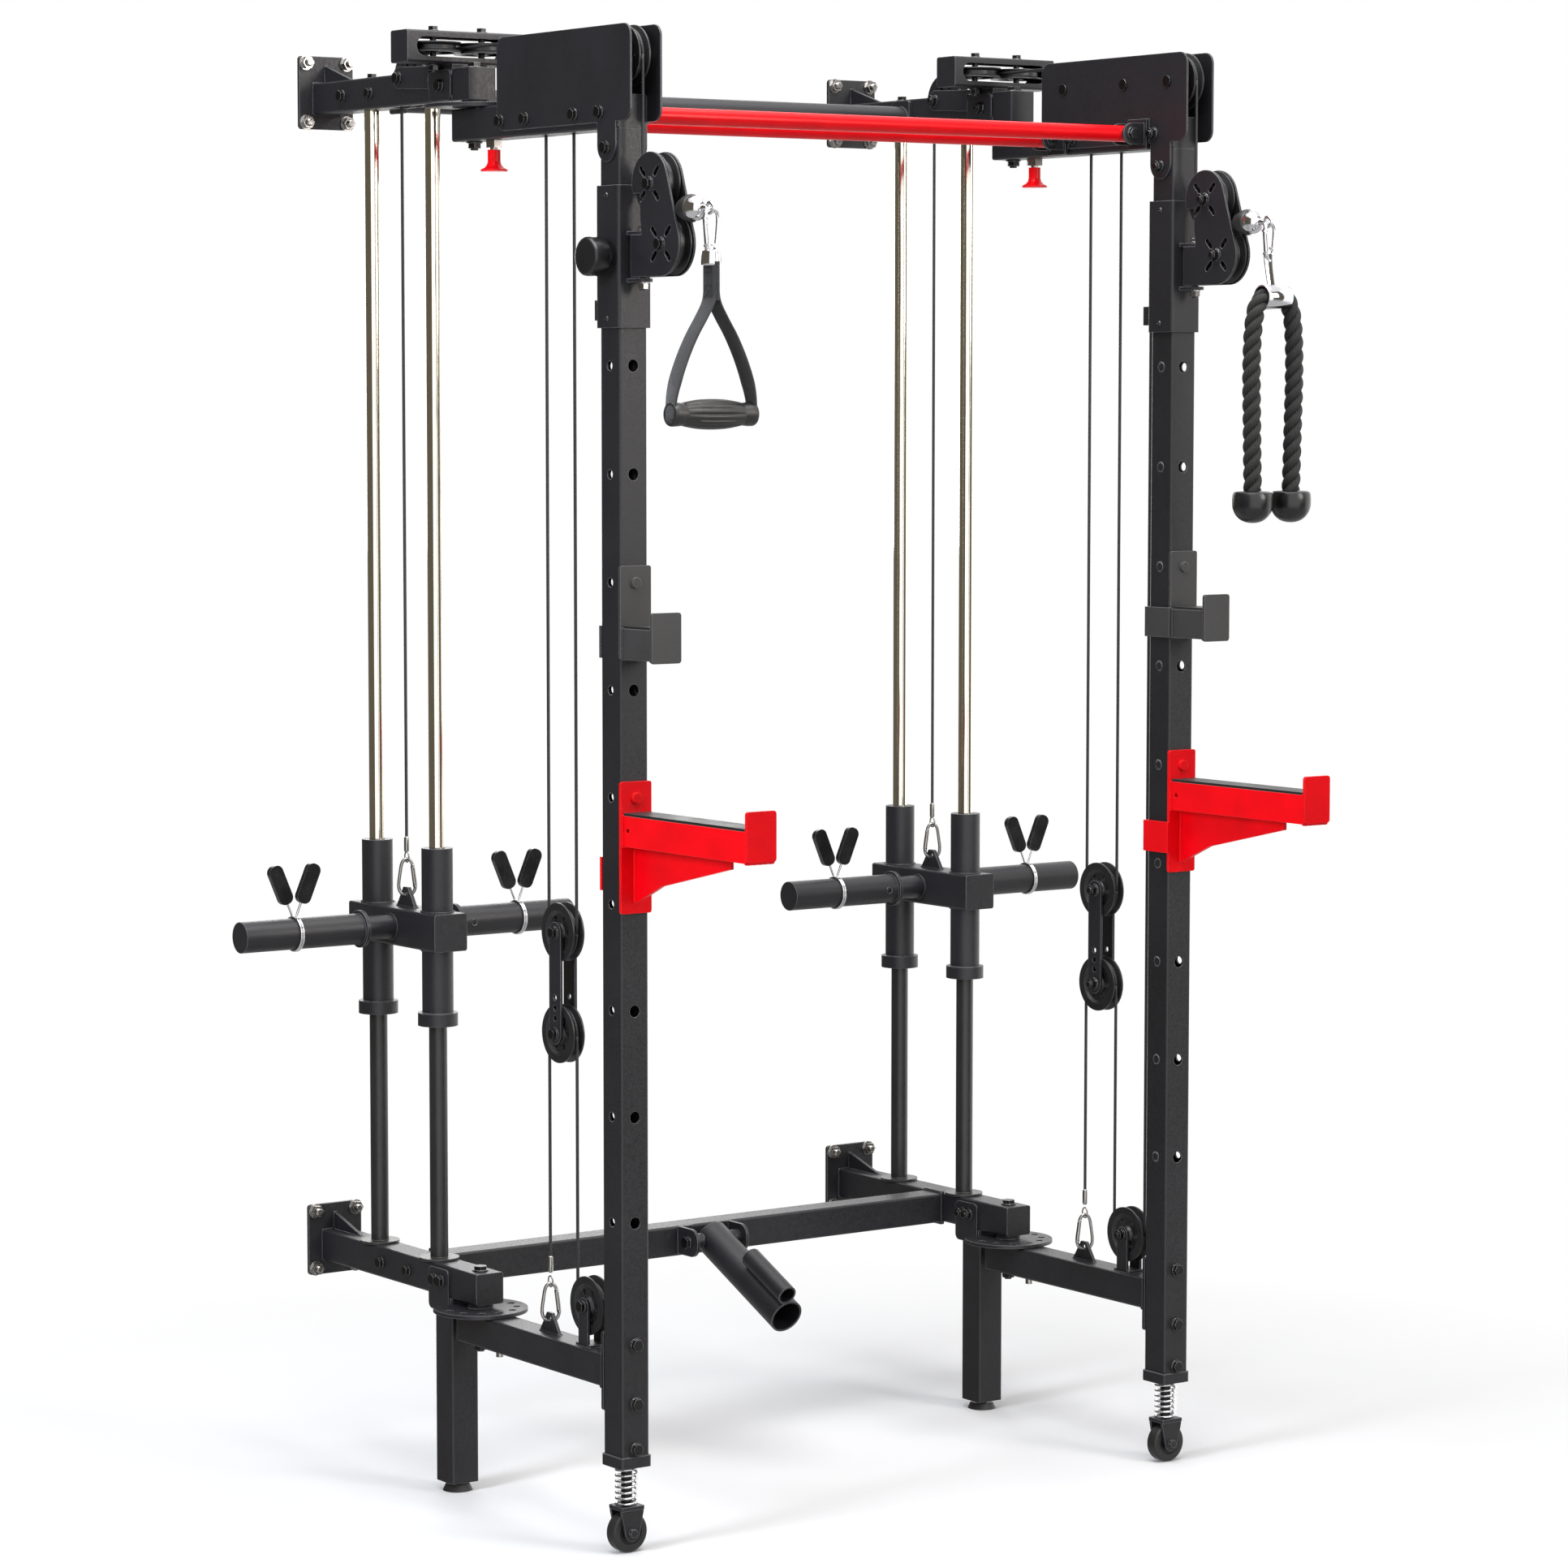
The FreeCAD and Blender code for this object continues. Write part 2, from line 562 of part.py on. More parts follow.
# ---------------------------------------------------------------- top pulleys
def pulley_boxes():
    """The slotted tube across each top wall tube, and the two cheeks of the rear pulley."""
    z = "wheel_z + wrap_r"
    tube = square_tube("box_tube", ("-side_x", "box_y", z), "2*box_half", "x")
    ends = [box(f"box_end_{i}", (f"-side_x + {sx}*(box_half - 1.5)", "box_y", z), ("3", "46", "46"))
            for i, sx in enumerate((-1, 1))]
    under = f"({z} - tube/2 + top_tube_z + tube/2)/2"
    packer = box("box_packer", ("-side_x", "box_y", under),
                 ("46", "46", f"{z} - top_tube_z - tube"))
    steel = fuse("box_steel", [tube, packer] + ends)
    slot = round_plate("box_slot", ("-side_x", "box_y", z), "88", "15", "14.9", "tube + 20", "y")
    bores = drills("box_axle_bore", [(f"-side_x + {sx}*box_wheel_dx", "box_y", z) for sx in (-1, 1)],
                   "5 + gap", "tube + 20", "z")
    shell = cut("left_pulley_box", steel, [slot] + bores)
    cheeks = []
    for i, sx in enumerate((-1, 1)):
        x = f"-side_x + {sx}*(tube/2 + 2)"
        arm = cut_plate(f"cheek_arm_{i}", (x, "rear_wheel_y", "wheel_z"),
                        [("-120", "-24"), ("0", "-17"), ("0", "17"), ("-88", "13.5"), ("-120", "13.5")],
                        "4", "x")
        lobe = rod(f"cheek_lobe_{i}", (x, "rear_wheel_y", "wheel_z"), "17", "4", "x")
        bore = rod(f"cheek_bore_{i}", (x, "rear_wheel_y", "wheel_z"), "5 + gap", "10", "x")
        solid = fuse(f"cheek_solid_{i}", [arm, lobe])
        ear_clear = box(f"cheek_clear_{i}", (x, "458", "top_tube_z - 12"), ("10", "96", "74.4"))
        cheeks.append(cut(f"cheek_{i}", solid, [bore, ear_clear]))
    return both("pulley_boxes", group("left_box_set", [shell] + cheeks))


def box_wheels():
    """The four horizontal wheels that steer the cables into the folding arms."""
    body, sketch = new_sketch("box_wheel_master")
    outline(sketch, [
        ("-8", "pulley_bore"), ("-8", "12"), ("-5", "14"), ("-5", "30"), ("-8", "33"), ("-8", "box_wheel_r"),
        ("-6", "box_wheel_r"), ("-3", "groove_r"), ("3", "groove_r"), ("6", "box_wheel_r"),
        ("8", "box_wheel_r"), ("8", "33"), ("5", "30"), ("5", "14"), ("8", "12"), ("8", "pulley_bore")])
    turn = body.newObject("PartDesign::Revolution", "box_wheel_turn")
    turn.Profile = sketch
    turn.ReferenceAxis = (sketch, ["H_Axis"])
    turn.Angle = 360
    flat = Rotation(Vector(0, 1, 0), 90)
    height = "wheel_z + wrap_r"
    wheels = [copy_at(f"box_wheel_{i}", body, f"-side_x + {sx}*box_wheel_dx", "box_y", height, flat)
              for i, sx in enumerate((-1, 1))]
    return both("box_wheels", group("left_box_wheels", wheels))


def anchor_nut(name, x, z):
    """Washer and nut that a wall stud passes through."""
    face = "wall_y - wall_plate_t"
    washer = rod(name + "_washer", (x, f"{face} - 1", z), "12", "2", "y")
    nut = hexagon(name + "_hex", (x, f"{face} - 6.5", z), "18", "9", "y")
    bore = rod(name + "_bore", (x, f"{face} - 6", z), "anchor_r + gap", "30", "y")
    return cut(name, fuse(name + "_blank", [washer, nut]), [bore])


def frame_fasteners():
    """Bolts of the wall frame, the two fold pivots and the nuts on the wall studs."""
    pieces = []
    for level, z in (("top", "top_tube_z + 10"), ("base", "base_tube_z + 10")):
        for i, (sx, sz) in enumerate(((-1, -1), (1, -1), (1, 1), (-1, 1))):
            pieces.append(anchor_nut(f"{level}_anchor_{i}", f"-side_x + {sx}*anchor_dx",
                                     f"{z} + {sz}*anchor_dz"))
    top = "top_tube_z + tube/2"
    pieces += bolt("top_pivot", ("-side_x", "pivot_y", top), "z-", "top_tube_z - top_arm_z + tube + 0.4",
                   "6", "19")
    pieces += bolt("base_pivot", ("-side_x", "pivot_y", "base_tube_z + tube/2"), "z-",
                   "base_tube_z - low_arm_z + tube + 0.4", "6", "19")
    for i, y in enumerate(("rod_front_y", "rod_rear_y")):
        pieces += bolt(f"rod_bolt_{i}", ("-side_x", y, top), "z-", "tube", "5", "14", nut=False)
    box_top = "wheel_z + wrap_r + tube/2"
    for i, sx in enumerate((-1, 1)):
        head = (f"-side_x + {sx}*box_wheel_dx", "box_y", box_top)
        pieces += bolt(f"box_axle_{i}", head, "z-", "tube", "axle_r", "14")
    pieces += bolt("rear_axle", ("-side_x - tube/2 - 4", "rear_wheel_y", "wheel_z"), "x+",
                   "tube + 8", "axle_r", "16")
    outer = "-side_x - tube/2"
    for i, (y, extra) in enumerate((("470", 3), ("777", 0))):
        pieces += bolt(f"top_side_{i}", (f"{outer} - {extra}", y, "top_tube_z"), "x+", f"tube + {2*extra}")
    pieces += bolt("top_side_bar", (outer, "690", "top_tube_z"), "x+", "tube + 5", "5", "14")
    for i, (y, extra) in enumerate((("488", 3.5), ("508", 3.5), ("680", 0))):
        pieces += bolt(f"base_side_{i}", (f"{outer} - {extra}", y, "base_tube_z"), "x+", f"tube + {2*extra}")
    pieces += bolt("base_side_cross", (outer, "596", "base_tube_z"), "x+", "tube + 5", "5", "14")
    return both("frame_fasteners", group("left_frame_fasteners", pieces))


# ---------------------------------------------------------------- folding side frame
def upright():
    """Front upright with its two rows of holes, and the caster housing at its foot."""
    high = "top_arm_z - tube/2"
    tube = square_tube("upright_tube", ("-side_x", "0", f"({high} + upright_low)/2"),
                       f"{high} - upright_low", "z")
    holes = []
    for step in range(int(number("hole_count"))):
        z = f"hole_low + {step}*hole_pitch"
        holes.append(rod(f"front_hole_{step}", ("-side_x", "0", z), "pin_hole_r", "tube + 10", "y"))
        holes.append(rod(f"side_hole_{step}", ("-side_x", "0", z), "side_hole_r", "tube + 10", "x"))
    holes += drills("upright_bolt_hole", [("-side_x", "0", z) for z in ("320.7", "230.4", "161")],
                    "5 + gap", "tube + 10", "y")
    holes.append(rod("clamp_hole", ("-side_x", "3", "2105.5"), "5 + gap", "tube + 10", "x"))
    steel = cut("upright_drilled", tube, holes)
    ring_block = round_plate("housing_ring", ("-side_x", "0", "(cap_low + 150)/2"), "28", "28", "6",
                             "150 - cap_low", "z")
    plug = box("housing_plug", ("-side_x", "0", "166"), ("43.6", "43.6", "60"))
    clear = box("housing_clear", ("-side_x", "0", "upright_low + 30"), ("tube", "tube", "60"))
    cup = cut("housing_cup", ring_block, [clear])
    bore = rod("housing_bore", ("-side_x", "0", "170"), "stem_r + 0.1", "90", "z")
    pin = rod("housing_bolt_bore", ("-side_x", "0", "161"), "5 + gap", "70", "y")
    housing = cut("caster_housing", fuse("housing_blank", [cup, plug]), [bore, pin])
    return group("left_upright", [steel, housing])


def top_arm():
    """Top arm: tube, two side plates, upright clamps and the forks of the pull-up bars."""
    length = "top_arm_rear_y - arm_front_y"
    middle = "(top_arm_rear_y + arm_front_y)/2"
    tube = square_tube("arm_tube", ("-side_x", middle, "top_arm_z"), length, "y")
    caps = [box("arm_cap_front", ("-side_x", "arm_front_y + 1.5", "top_arm_z"), ("46", "3", "46")),
            box("arm_cap_rear", ("-side_x", "top_arm_rear_y - 1.5", "top_arm_z"), ("46", "3", "46"))]
    bush = tube_of("arm_bush", ("-side_x", "pivot_y", "top_arm_z"), "12", "6.1", "tube", "z")
    parts = [tube, bush] + caps
    for i, sx in enumerate((-1, 1)):
        x = f"-side_x + {sx}*(tube/2 + 1.5)"
        centre = (x, "(side_plate_front + side_plate_rear)/2", "(side_plate_low + side_plate_high)/2")
        parts.append(round_plate(f"arm_side_{i}", centre, "(side_plate_rear - side_plate_front)/2",
                                 "(side_plate_high - side_plate_low)/2", "18", "plate", "x"))
        clamp_low = "2084 + tube/2"
        parts.append(box(f"clamp_{i}", (x, "3", f"(side_plate_low + {clamp_low})/2"),
                         ("plate", "tube - 1", f"side_plate_low - ({clamp_low})")))
        parts.append(rod(f"clamp_end_{i}", (x, "3", clamp_low), "tube/2 - 0.5", "plate", "x"))
    inner = "-side_x + tube/2 + plate"
    for i, y in enumerate(("bar_front_y", "bar_rear_y")):
        parts.append(box(f"fork_base_{i}", (f"{inner} + 3", y, "top_arm_z"), ("6", "46", "48")))
        for k, sy in enumerate((-1, 1)):
            ear_y = f"{y} + {sy}*(bar_r + 2.8)"
            parts.append(box(f"fork_ear_{i}_{k}", (f"({inner} + 6 - bar_pin_x)/2", ear_y, "top_arm_z"),
                             (f"-bar_pin_x - ({inner} + 6)", "4", "34")))
            parts.append(rod(f"fork_round_{i}_{k}", ("-bar_pin_x", ear_y, "top_arm_z"), "17", "4", "y"))
    steel = fuse("top_arm_steel", parts)
    holes = drills("arm_bolt_hole", [("-side_x", y, "top_arm_z") for y in ("19", "89", "224.5", "294.5")],
                   "5 + gap", "80", "x")
    holes += drills("arm_clamp_hole", [("-side_x", "3", "2105.5")], "5 + gap", "80", "x")
    holes += drills("fork_hole", [("-bar_pin_x", y, "top_arm_z") for y in ("bar_front_y", "bar_rear_y")],
                    "5 + 0.2", "60", "y")
    wheels = ("arm_wheel_rear", "arm_wheel_mid", "arm_wheel_front")
    holes += drills("axle_hole", [("-side_x + 20", y, "wheel_z") for y in wheels], "axle_r + 0.1", "60", "x")
    holes += drills("cable_hole", [("-side_x", f"block_y + {sy}*wrap_r", "top_arm_z") for sy in (-1, 1)],
                    "8", "70", "z")
    holes.append(rod("arm_pivot_bore", ("-side_x", "pivot_y", "top_arm_z"), "6.1", "70", "z"))
    pin_y = "pivot_y - index_hole_circle"
    holes.append(rod("arm_pin_bore", ("-side_x", pin_y, "top_arm_z"), "6.2", "70", "z"))
    frame = cut("top_arm_frame", steel, holes)
    wheels_inside = [pulley("arm_pulley_rear", "arm_wheel_rear", "wheel_z"),
                     pulley("arm_pulley_mid", "arm_wheel_mid", "wheel_z")]
    return group("left_top_arm", [frame] + wheels_inside)


def lower_arm():
    """Lower arm: tube, upright plate, cable tab and the fork of the base pulley."""
    length = "low_arm_rear_y - tube/2 - end_plate_t"
    middle = "(low_arm_rear_y + tube/2 + end_plate_t)/2"
    tube = square_tube("low_tube", ("-side_x", middle, "low_arm_z"), length, "y")
    cap = box("low_cap", ("-side_x", "low_arm_rear_y - 1.5", "low_arm_z"), ("46", "3", "46"))
    bush = tube_of("low_bush", ("-side_x", "pivot_y", "low_arm_z"), "12", "6.1", "tube", "z")
    plate = round_plate("low_end_plate", ("-side_x", "tube/2 + end_plate_t/2", "275"), "tube/2", "60.5", "4",
                        "end_plate_t", "y", [("0", "45.7", "5 + gap"), ("0", "-44.6", "5 + gap")])
    deck = "low_arm_z + tube/2"
    anchor_y = "block_y + wrap_r"
    tab = cut_plate("low_tab", ("-side_x", anchor_y, deck),
                    [("-28", "0"), ("28", "0"), ("7", "32"), ("-7", "32")], "5", "x", [("0", "23", "4.5")])
    wheel_y = "block_y - 2*wrap_r"
    cheeks = []
    for i, sx in enumerate((-1, 1)):
        x = f"-side_x + {sx}*(pulley_half + 4)"
        cheeks.append(box(f"low_cheek_{i}", (x, wheel_y, f"({deck} + base_wheel_z)/2"),
                          ("4", "26", f"base_wheel_z - ({deck})")))
        cheeks.append(rod(f"low_cheek_round_{i}", (x, wheel_y, "base_wheel_z"), "13", "4", "x"))
    deck_plate = box("low_deck", ("-side_x", wheel_y, f"{deck} + 2"), ("32", "40", "4"))
    steel = fuse("low_steel", [tube, cap, bush, plate, tab, deck_plate] + cheeks)
    bores = [
        rod("low_axle_bore", ("-side_x", wheel_y, "base_wheel_z"), "axle_r + 0.1", "50", "x"),
        rod("low_pivot_bore", ("-side_x", "pivot_y", "low_arm_z"), "6.1", "70", "z"),
        rod("low_pin_bore", ("-side_x", "pivot_y - index_hole_circle", "low_arm_z"), "6.2", "70", "z"),
    ]
    return cut("left_lower_arm", steel, bores)


def index_plate(name, lower_tube_z, upper_tube_z):
    """The fixed disc at a pivot, with a spacer above it; a lock pin drops into its holes."""
    arm_top = f"{lower_tube_z} + tube/2 + 1"
    body, sketch = new_sketch(name)
    circle_at(sketch, "0", "0", "index_r")
    circle_at(sketch, "0", "0", "6.2")
    for step in range(7):
        turn = f"{-90 + 30*step} deg"
        circle_at(sketch, f"index_hole_circle*sin({turn})", f"-index_hole_circle*cos({turn})", "6.3")
    pad(body, sketch, "index_t")
    place(body, "-side_x", "pivot_y", f"{arm_top} + index_t/2")
    rear = box(name + "_rear_cut", ("-side_x", "pivot_y + 70", f"{arm_top} + index_t/2"), ("200", "60", "20"))
    disc = cut(name + "_disc", body, [rear])
    low = f"({arm_top} + index_t)"
    high = f"({upper_tube_z} - tube/2)"
    spacer = tube_of(name + "_spacer", ("-side_x", "pivot_y", f"({low} + {high})/2"), "20", "6.2",
                     f"{high} - {low}", "z")
    return [disc, spacer]


def arm_fasteners():
    """Bolts and axles that fold with the side frame."""
    outer = "-side_x - tube/2 - plate"
    pieces = []
    for i, y in enumerate(("19", "89", "224.5", "294.5")):
        pieces += bolt(f"arm_bolt_{i}", (outer, y, "top_arm_z"), "x+", "tube + 2*plate", "5", "15")
    pieces += bolt("clamp_bolt", (outer, "3", "2105.5"), "x+", "tube + 2*plate", "5", "15")
    for i, z in enumerate(("320.7", "230.4")):
        pieces += bolt(f"foot_bolt_{i}", ("-side_x", "-tube/2", z), "y+", "tube + end_plate_t", "5", "16")
    pieces += bolt("housing_bolt", ("-side_x", "-tube/2", "161"), "y+", "tube", "5", "16")
    for i, y in enumerate(("arm_wheel_rear", "arm_wheel_mid", "arm_wheel_front")):
        pin = rod(f"arm_axle_{i}", ("-side_x + plate/2", y, "wheel_z"), "axle_r", "tube + plate", "x")
        head = rod(f"arm_axle_head_{i}", ("-side_x + tube/2 + plate + 1.5", y, "wheel_z"), "9", "3", "x")
        pieces.append(fuse(f"arm_axle_pin_{i}", [pin, head]))
        for k, sx in enumerate((-1, 1)):
            centre = (f"-side_x + {sx}*(tube/2 + pulley_half)/2", y, "wheel_z")
            pieces.append(tube_of(f"arm_spacer_{i}_{k}", centre, "8", "axle_r + 0.05",
                                  "tube/2 - pulley_half - 0.4", "x"))
    for i, y in enumerate(("bar_front_y", "bar_rear_y")):
        pieces += bolt(f"bar_bolt_{i}", ("-bar_pin_x", f"{y} - bar_r - 4.8", "top_arm_z"), "y+",
                       "2*bar_r + 9.6", "5", "16")
    collar = hexagon("pin_collar_hex", ("-side_x", "pivot_y - index_hole_circle", "top_arm_z - tube/2 - 6"),
                     "24", "12", "z")
    bore = rod("pin_collar_bore", ("-side_x", "pivot_y - index_hole_circle", "top_arm_z - tube/2 - 6"),
               "6.3", "20", "z")
    pieces.append(cut("pin_collar", collar, [bore]))
    pieces += bolt("base_axle", ("-side_x - pulley_half - 6", "block_y - 2*wrap_r", "base_wheel_z"), "x+",
                   "2*pulley_half + 12", "axle_r", "16")
    return group("left_arm_fasteners", pieces)


def lock_pins():
    """The two spring pins that lock the fold: a flared pull knob above, a plain pin below."""
    y = "pivot_y - index_hole_circle"
    low = "top_arm_z - tube/2"
    flare = []
    steps = (("10", "11.5", 33, 5), ("11.5", "15", 38, 4), ("15", "21", 42, 3))
    for i, (small, wide, top, tall) in enumerate(steps):
        step = DOC.addObject("Part::Cone", f"pull_flare_{i}")
        bind(step, "Radius1", wide)
        bind(step, "Radius2", small)
        bind(step, "Height", str(tall))
        place(step, "-side_x", y, f"{low} - {top + tall}")
        flare.append(step)
    parts = [
        rod("pull_pin", ("-side_x", y, f"{low} + 9.25"), "6", "82.5", "z"),
        rod("pull_neck", ("-side_x", y, f"{low} - 24"), "10", "18", "z"),
        rod("pull_rim", ("-side_x", y, f"{low} - 46.5"), "21", "3", "z"),
    ] + flare
    pin = rod("drop_pin", ("-side_x", y, "low_arm_z - 6.25"), "6", "63.5", "z")
    return group("left_lock_pins", [fuse("pull_plunger", parts), pin])


# ---------------------------------------------------------------- trolley and handles
def trolley():
    """Square sleeve on the upright with two swivel tabs, a pin boss and a cable lug."""
    size = "2*trolley_out"
    body, sketch = new_sketch("trolley_shell")
    rounded_rectangle(sketch, "trolley_out", "trolley_out", "6")
    rounded_rectangle(sketch, "tube/2 + gap", "tube/2 + gap", "3")
    pad(body, sketch, "2*trolley_half")
    place(body, "-side_x", "0", "trolley_z")
    parts = [body]
    for i, z in enumerate(("1979.5", "1910.5")):
        slab = box(f"tab_slab_{i}", ("-side_x", "(-trolley_out + swivel_y)/2", z),
                   ("28", "-trolley_out - swivel_y", "5"))
        parts += [slab, rod(f"tab_round_{i}", ("-side_x", "swivel_y", z), "14", "5", "z")]
    parts.append(rod("pin_boss", ("-side_x - trolley_out - 4", "0", "trolley_z"), "13", "8", "x"))
    lug = ("-side_x", "(trolley_out + 66)/2", "1868")
    parts.append(box("cable_lug", lug, ("16", "66 - trolley_out", "30")))
    shell = fuse("trolley_blank", parts)
    wrap_y = "block_y - 3*wrap_r"
    holes = [
        rod("swivel_hole", ("-side_x", "swivel_y", "1945"), "5.1", "120", "z"),
        rod("trolley_pin_hole", ("-side_x - trolley_out", "0", "trolley_z"), "6.2", "24", "x"),
        rod("lug_hole", ("-side_x", wrap_y, "1868"), "cable_r + 0.2", "40", "z"),
    ]
    return cut("left_trolley_sleeve", shell, holes)


def trolley_pin():
    """Round pull knob on the sleeve's outer face; its pin enters a side hole of the upright."""
    face = "-side_x - trolley_out"
    pin = rod("index_pin", (f"{face} - 10.25", "0", "trolley_z"), "6", "29.5", "x")
    knob = rod("index_knob", (f"{face} - 24", "0", "trolley_z"), "knob_r", "30", "x")
    hollow = rod("index_knob_hollow", (f"{face} - 6", "0", "trolley_z"), "13.6", "16", "x")
    body = cut("index_knob_cup", knob, [hollow])
    return fuse("left_trolley_pin", [body, pin])


def head_plate(name, x, thick):
    """One side plate of the swivel head: two lobes, a straight nose and a hinge corner."""
    upper = rod(name + "_upper", (x, "head_high_y", "head_high_z"), "46", thick, "x")
    lower = rod(name + "_lower", (x, "head_low_y", "head_low_z"), "47", thick, "x")
    web = cut_plate(name + "_web", (x, "0", "0"), [
        ("-41", "1915"), ("-41", "1976.5"), ("-70", "1976.5"), ("-66", "2004"), ("-55", "2021"),
        ("-90.6", "2050"), ("-134.5", "2064"), ("-166", "1972"), ("-166.8", "1960"), ("-120", "1915")],
        thick, "x")
    return [upper, lower, web]


def trolley_head():
    """Swivelling pulley head: two plates, a hinge barrel, its bolt and two axles."""
    plates = []
    slots = []
    for high_y, high_z in (("head_high_y", "head_high_z"), ("head_low_y", "head_low_z")):
        for step in range(4):
            angle = math.radians(45 + 90 * step)
            dy, dz = 25 * math.cos(angle), 25 * math.sin(angle)
            centre = ("-side_x", f"{high_y} + ({dy})", f"{high_z} + ({dz})")
            slot = round_plate(f"head_slot_{high_y}_{step}", centre, "10", "4", "3.9", "60", "x")
            tilt = Rotation(Vector(1, 0, 0), 45 + 90 * step)
            slot.Placement = Placement(slot.Placement.Base, tilt.multiply(TURNS["x"]))
            bind(slot, ".Placement.Base.x", "-side_x")
            slots.append(slot)
    for i, sx in enumerate((-1, 1)):
        x = f"-side_x + {sx}*(head_gap + 1.5)"
        blank = fuse(f"head_blank_{i}", head_plate(f"head_plate_{i}", x, "plate"))
        clear = box(f"head_clear_{i}", (x, "-44", "2007"), ("10", "44", "59"))
        bores = [rod(f"head_bore_high_{i}", (x, "head_high_y", "head_high_z"), "axle_r + 0.1", "12", "x"),
                 rod(f"head_bore_low_{i}", (x, "head_low_y", "head_low_z"), "axle_r + 0.1", "12", "x")]
        plates.append(cut(f"head_side_{i}", blank, slots + bores + [clear]))
    barrel = box("hinge_block", ("-side_x", "swivel_y + 2", "1945.5"), ("2*head_gap", "18", "60"))
    bore = rod("hinge_bore", ("-side_x", "swivel_y", "1945"), "5.1", "80", "z")
    hinge = cut("hinge_barrel", barrel, [bore])
    pieces = [fuse("head_frame", plates + [hinge])]
    pieces += bolt("swivel_bolt", ("-side_x", "swivel_y", "1982.2"), "z-", "74.4", "5", "14")
    for name, y, z in (("high", "head_high_y", "head_high_z"), ("low", "head_low_y", "head_low_z")):
        pieces += bolt(f"head_axle_{name}", ("-side_x - head_gap - plate", y, z), "x+",
                       "2*head_gap + 2*plate", "axle_r", "15")
    return group("left_trolley_head", pieces)


def cable_end():
    """Rubber stop, chrome ball and snap hook that close the cable's front end."""
    stop = DOC.addObject("Part::Cone", "stop_cone")
    bind(stop, "Radius1", "13")
    bind(stop, "Radius2", "19")
    bind(stop, "Height", "16")
    place(stop, "-side_x", "ball_y + 26", "ball_z", Rotation(Vector(1, 0, 0), 90))
    sphere = ball("stop_ball", ("-side_x", "ball_y - 6", "ball_z"), "ball_r")
    eye = ring("hook_eye", ("-side_x", "hang_y + 22", "ball_z - 2"), "6", "2.2", "x")
    bow = box("hook_bow", ("-side_x", "hang_y", "ball_z - 28"), ("6", "18", "54"))
    hole = box("hook_hole", ("-side_x", "hang_y", "ball_z - 28"), ("10", "9", "42"))
    hook = cut("snap_hook", bow, [hole])
    neck = rod("hook_neck", ("-side_x", "(ball_y - 24 + hang_y + 9)/2", "ball_z - 2"), "3",
               "ball_y - 24 - hang_y - 9 + 2", "y")
    return fuse("cable_end", [stop, sphere, eye, hook, neck])


def left_handle():
    """Stirrup handle: chrome loop, webbing strap split over a barrel grip."""
    hang = cable_end()
    loop = box("loop_block", ("-side_x", "hang_y", "1944"), ("24", "8", "22"))
    strap = box("strap_neck", ("-side_x", "hang_y", "1905"), ("24", "5", "56"))
    legs = []
    for i, sx in enumerate((-1, 1)):
        leg = cut_plate(f"strap_leg_{i}", ("-side_x", "hang_y", "0"), [
            (f"{-sx}*12", "1877"), (f"{-sx}*61", "1780"), (f"{-sx}*63", "1733"),
            (f"{-sx}*51", "1733"), (f"{-sx}*49", "1775"), ("0", "1865")], "24", "y")
        legs.append(leg)
    grip = rod("grip_barrel", ("-side_x", "hang_y", "grip_z"), "18", "146", "x")
    swell = DOC.addObject("Part::Ellipsoid", "grip_swell")
    bind(swell, "Radius1", "21")
    bind(swell, "Radius2", "60")
    bind(swell, "Radius3", "21")
    place(swell, "-side_x", "hang_y", "grip_z", Rotation(Vector(0, 0, 1), 90))
    bore = rod("grip_bore", ("-side_x", "hang_y", "grip_z"), "12", "150", "x")
    handle = cut("grip", fuse("grip_blank", [grip, swell]), [bore])
    return group("left_handle", [fuse("left_strap", [hang, loop, strap] + legs), handle])


def rope_stop(index, x):
    """A rubber end stop: a short cylinder over a half ball."""
    top = rod(f"rope_stop_top_{index}", (x, "hang_y", "rope_low - 9"), "31", "18", "z")
    half = DOC.addObject("Part::Sphere", f"rope_stop_half_{index}")
    bind(half, "Radius", "31")
    half.Angle2 = 0
    place(half, x, "hang_y", "rope_low - 18")
    return fuse(f"rope_stop_{index}", [top, half])


def right_rope():
    """Triceps rope: chrome bracket, two rope legs and their end stops, drawn at the right side."""
    shift = "2*side_x"
    hang = copy_at("rope_hook", DOC.getObject("cable_end"), shift, "0", "0")
    loop = box("rope_plate", ("side_x", "hang_y", "1934"), ("26", "6", "44"))
    saddle = tube_of("rope_saddle", ("side_x", "hang_y", "rope_top + 5"), "18", "14.5", "52", "x")
    legs = []
    for i, sx in enumerate((-1, 1)):
        x = f"side_x + {sx}*rope_dx"
        legs.append(rod(f"rope_leg_{i}", (x, "hang_y", "(rope_top + rope_low)/2"), "rope_r",
                        "rope_top - rope_low", "z"))
        legs.append(rope_stop(i, x))
    bridge = rod("rope_bridge", ("side_x", "hang_y", "rope_top + 5"), "rope_r - 0.5", "2*rope_dx + 12", "x")
    rope = fuse("rope", [bridge] + legs)
    return group("right_rope", [fuse("rope_bracket", [hang, loop, saddle]), rope])


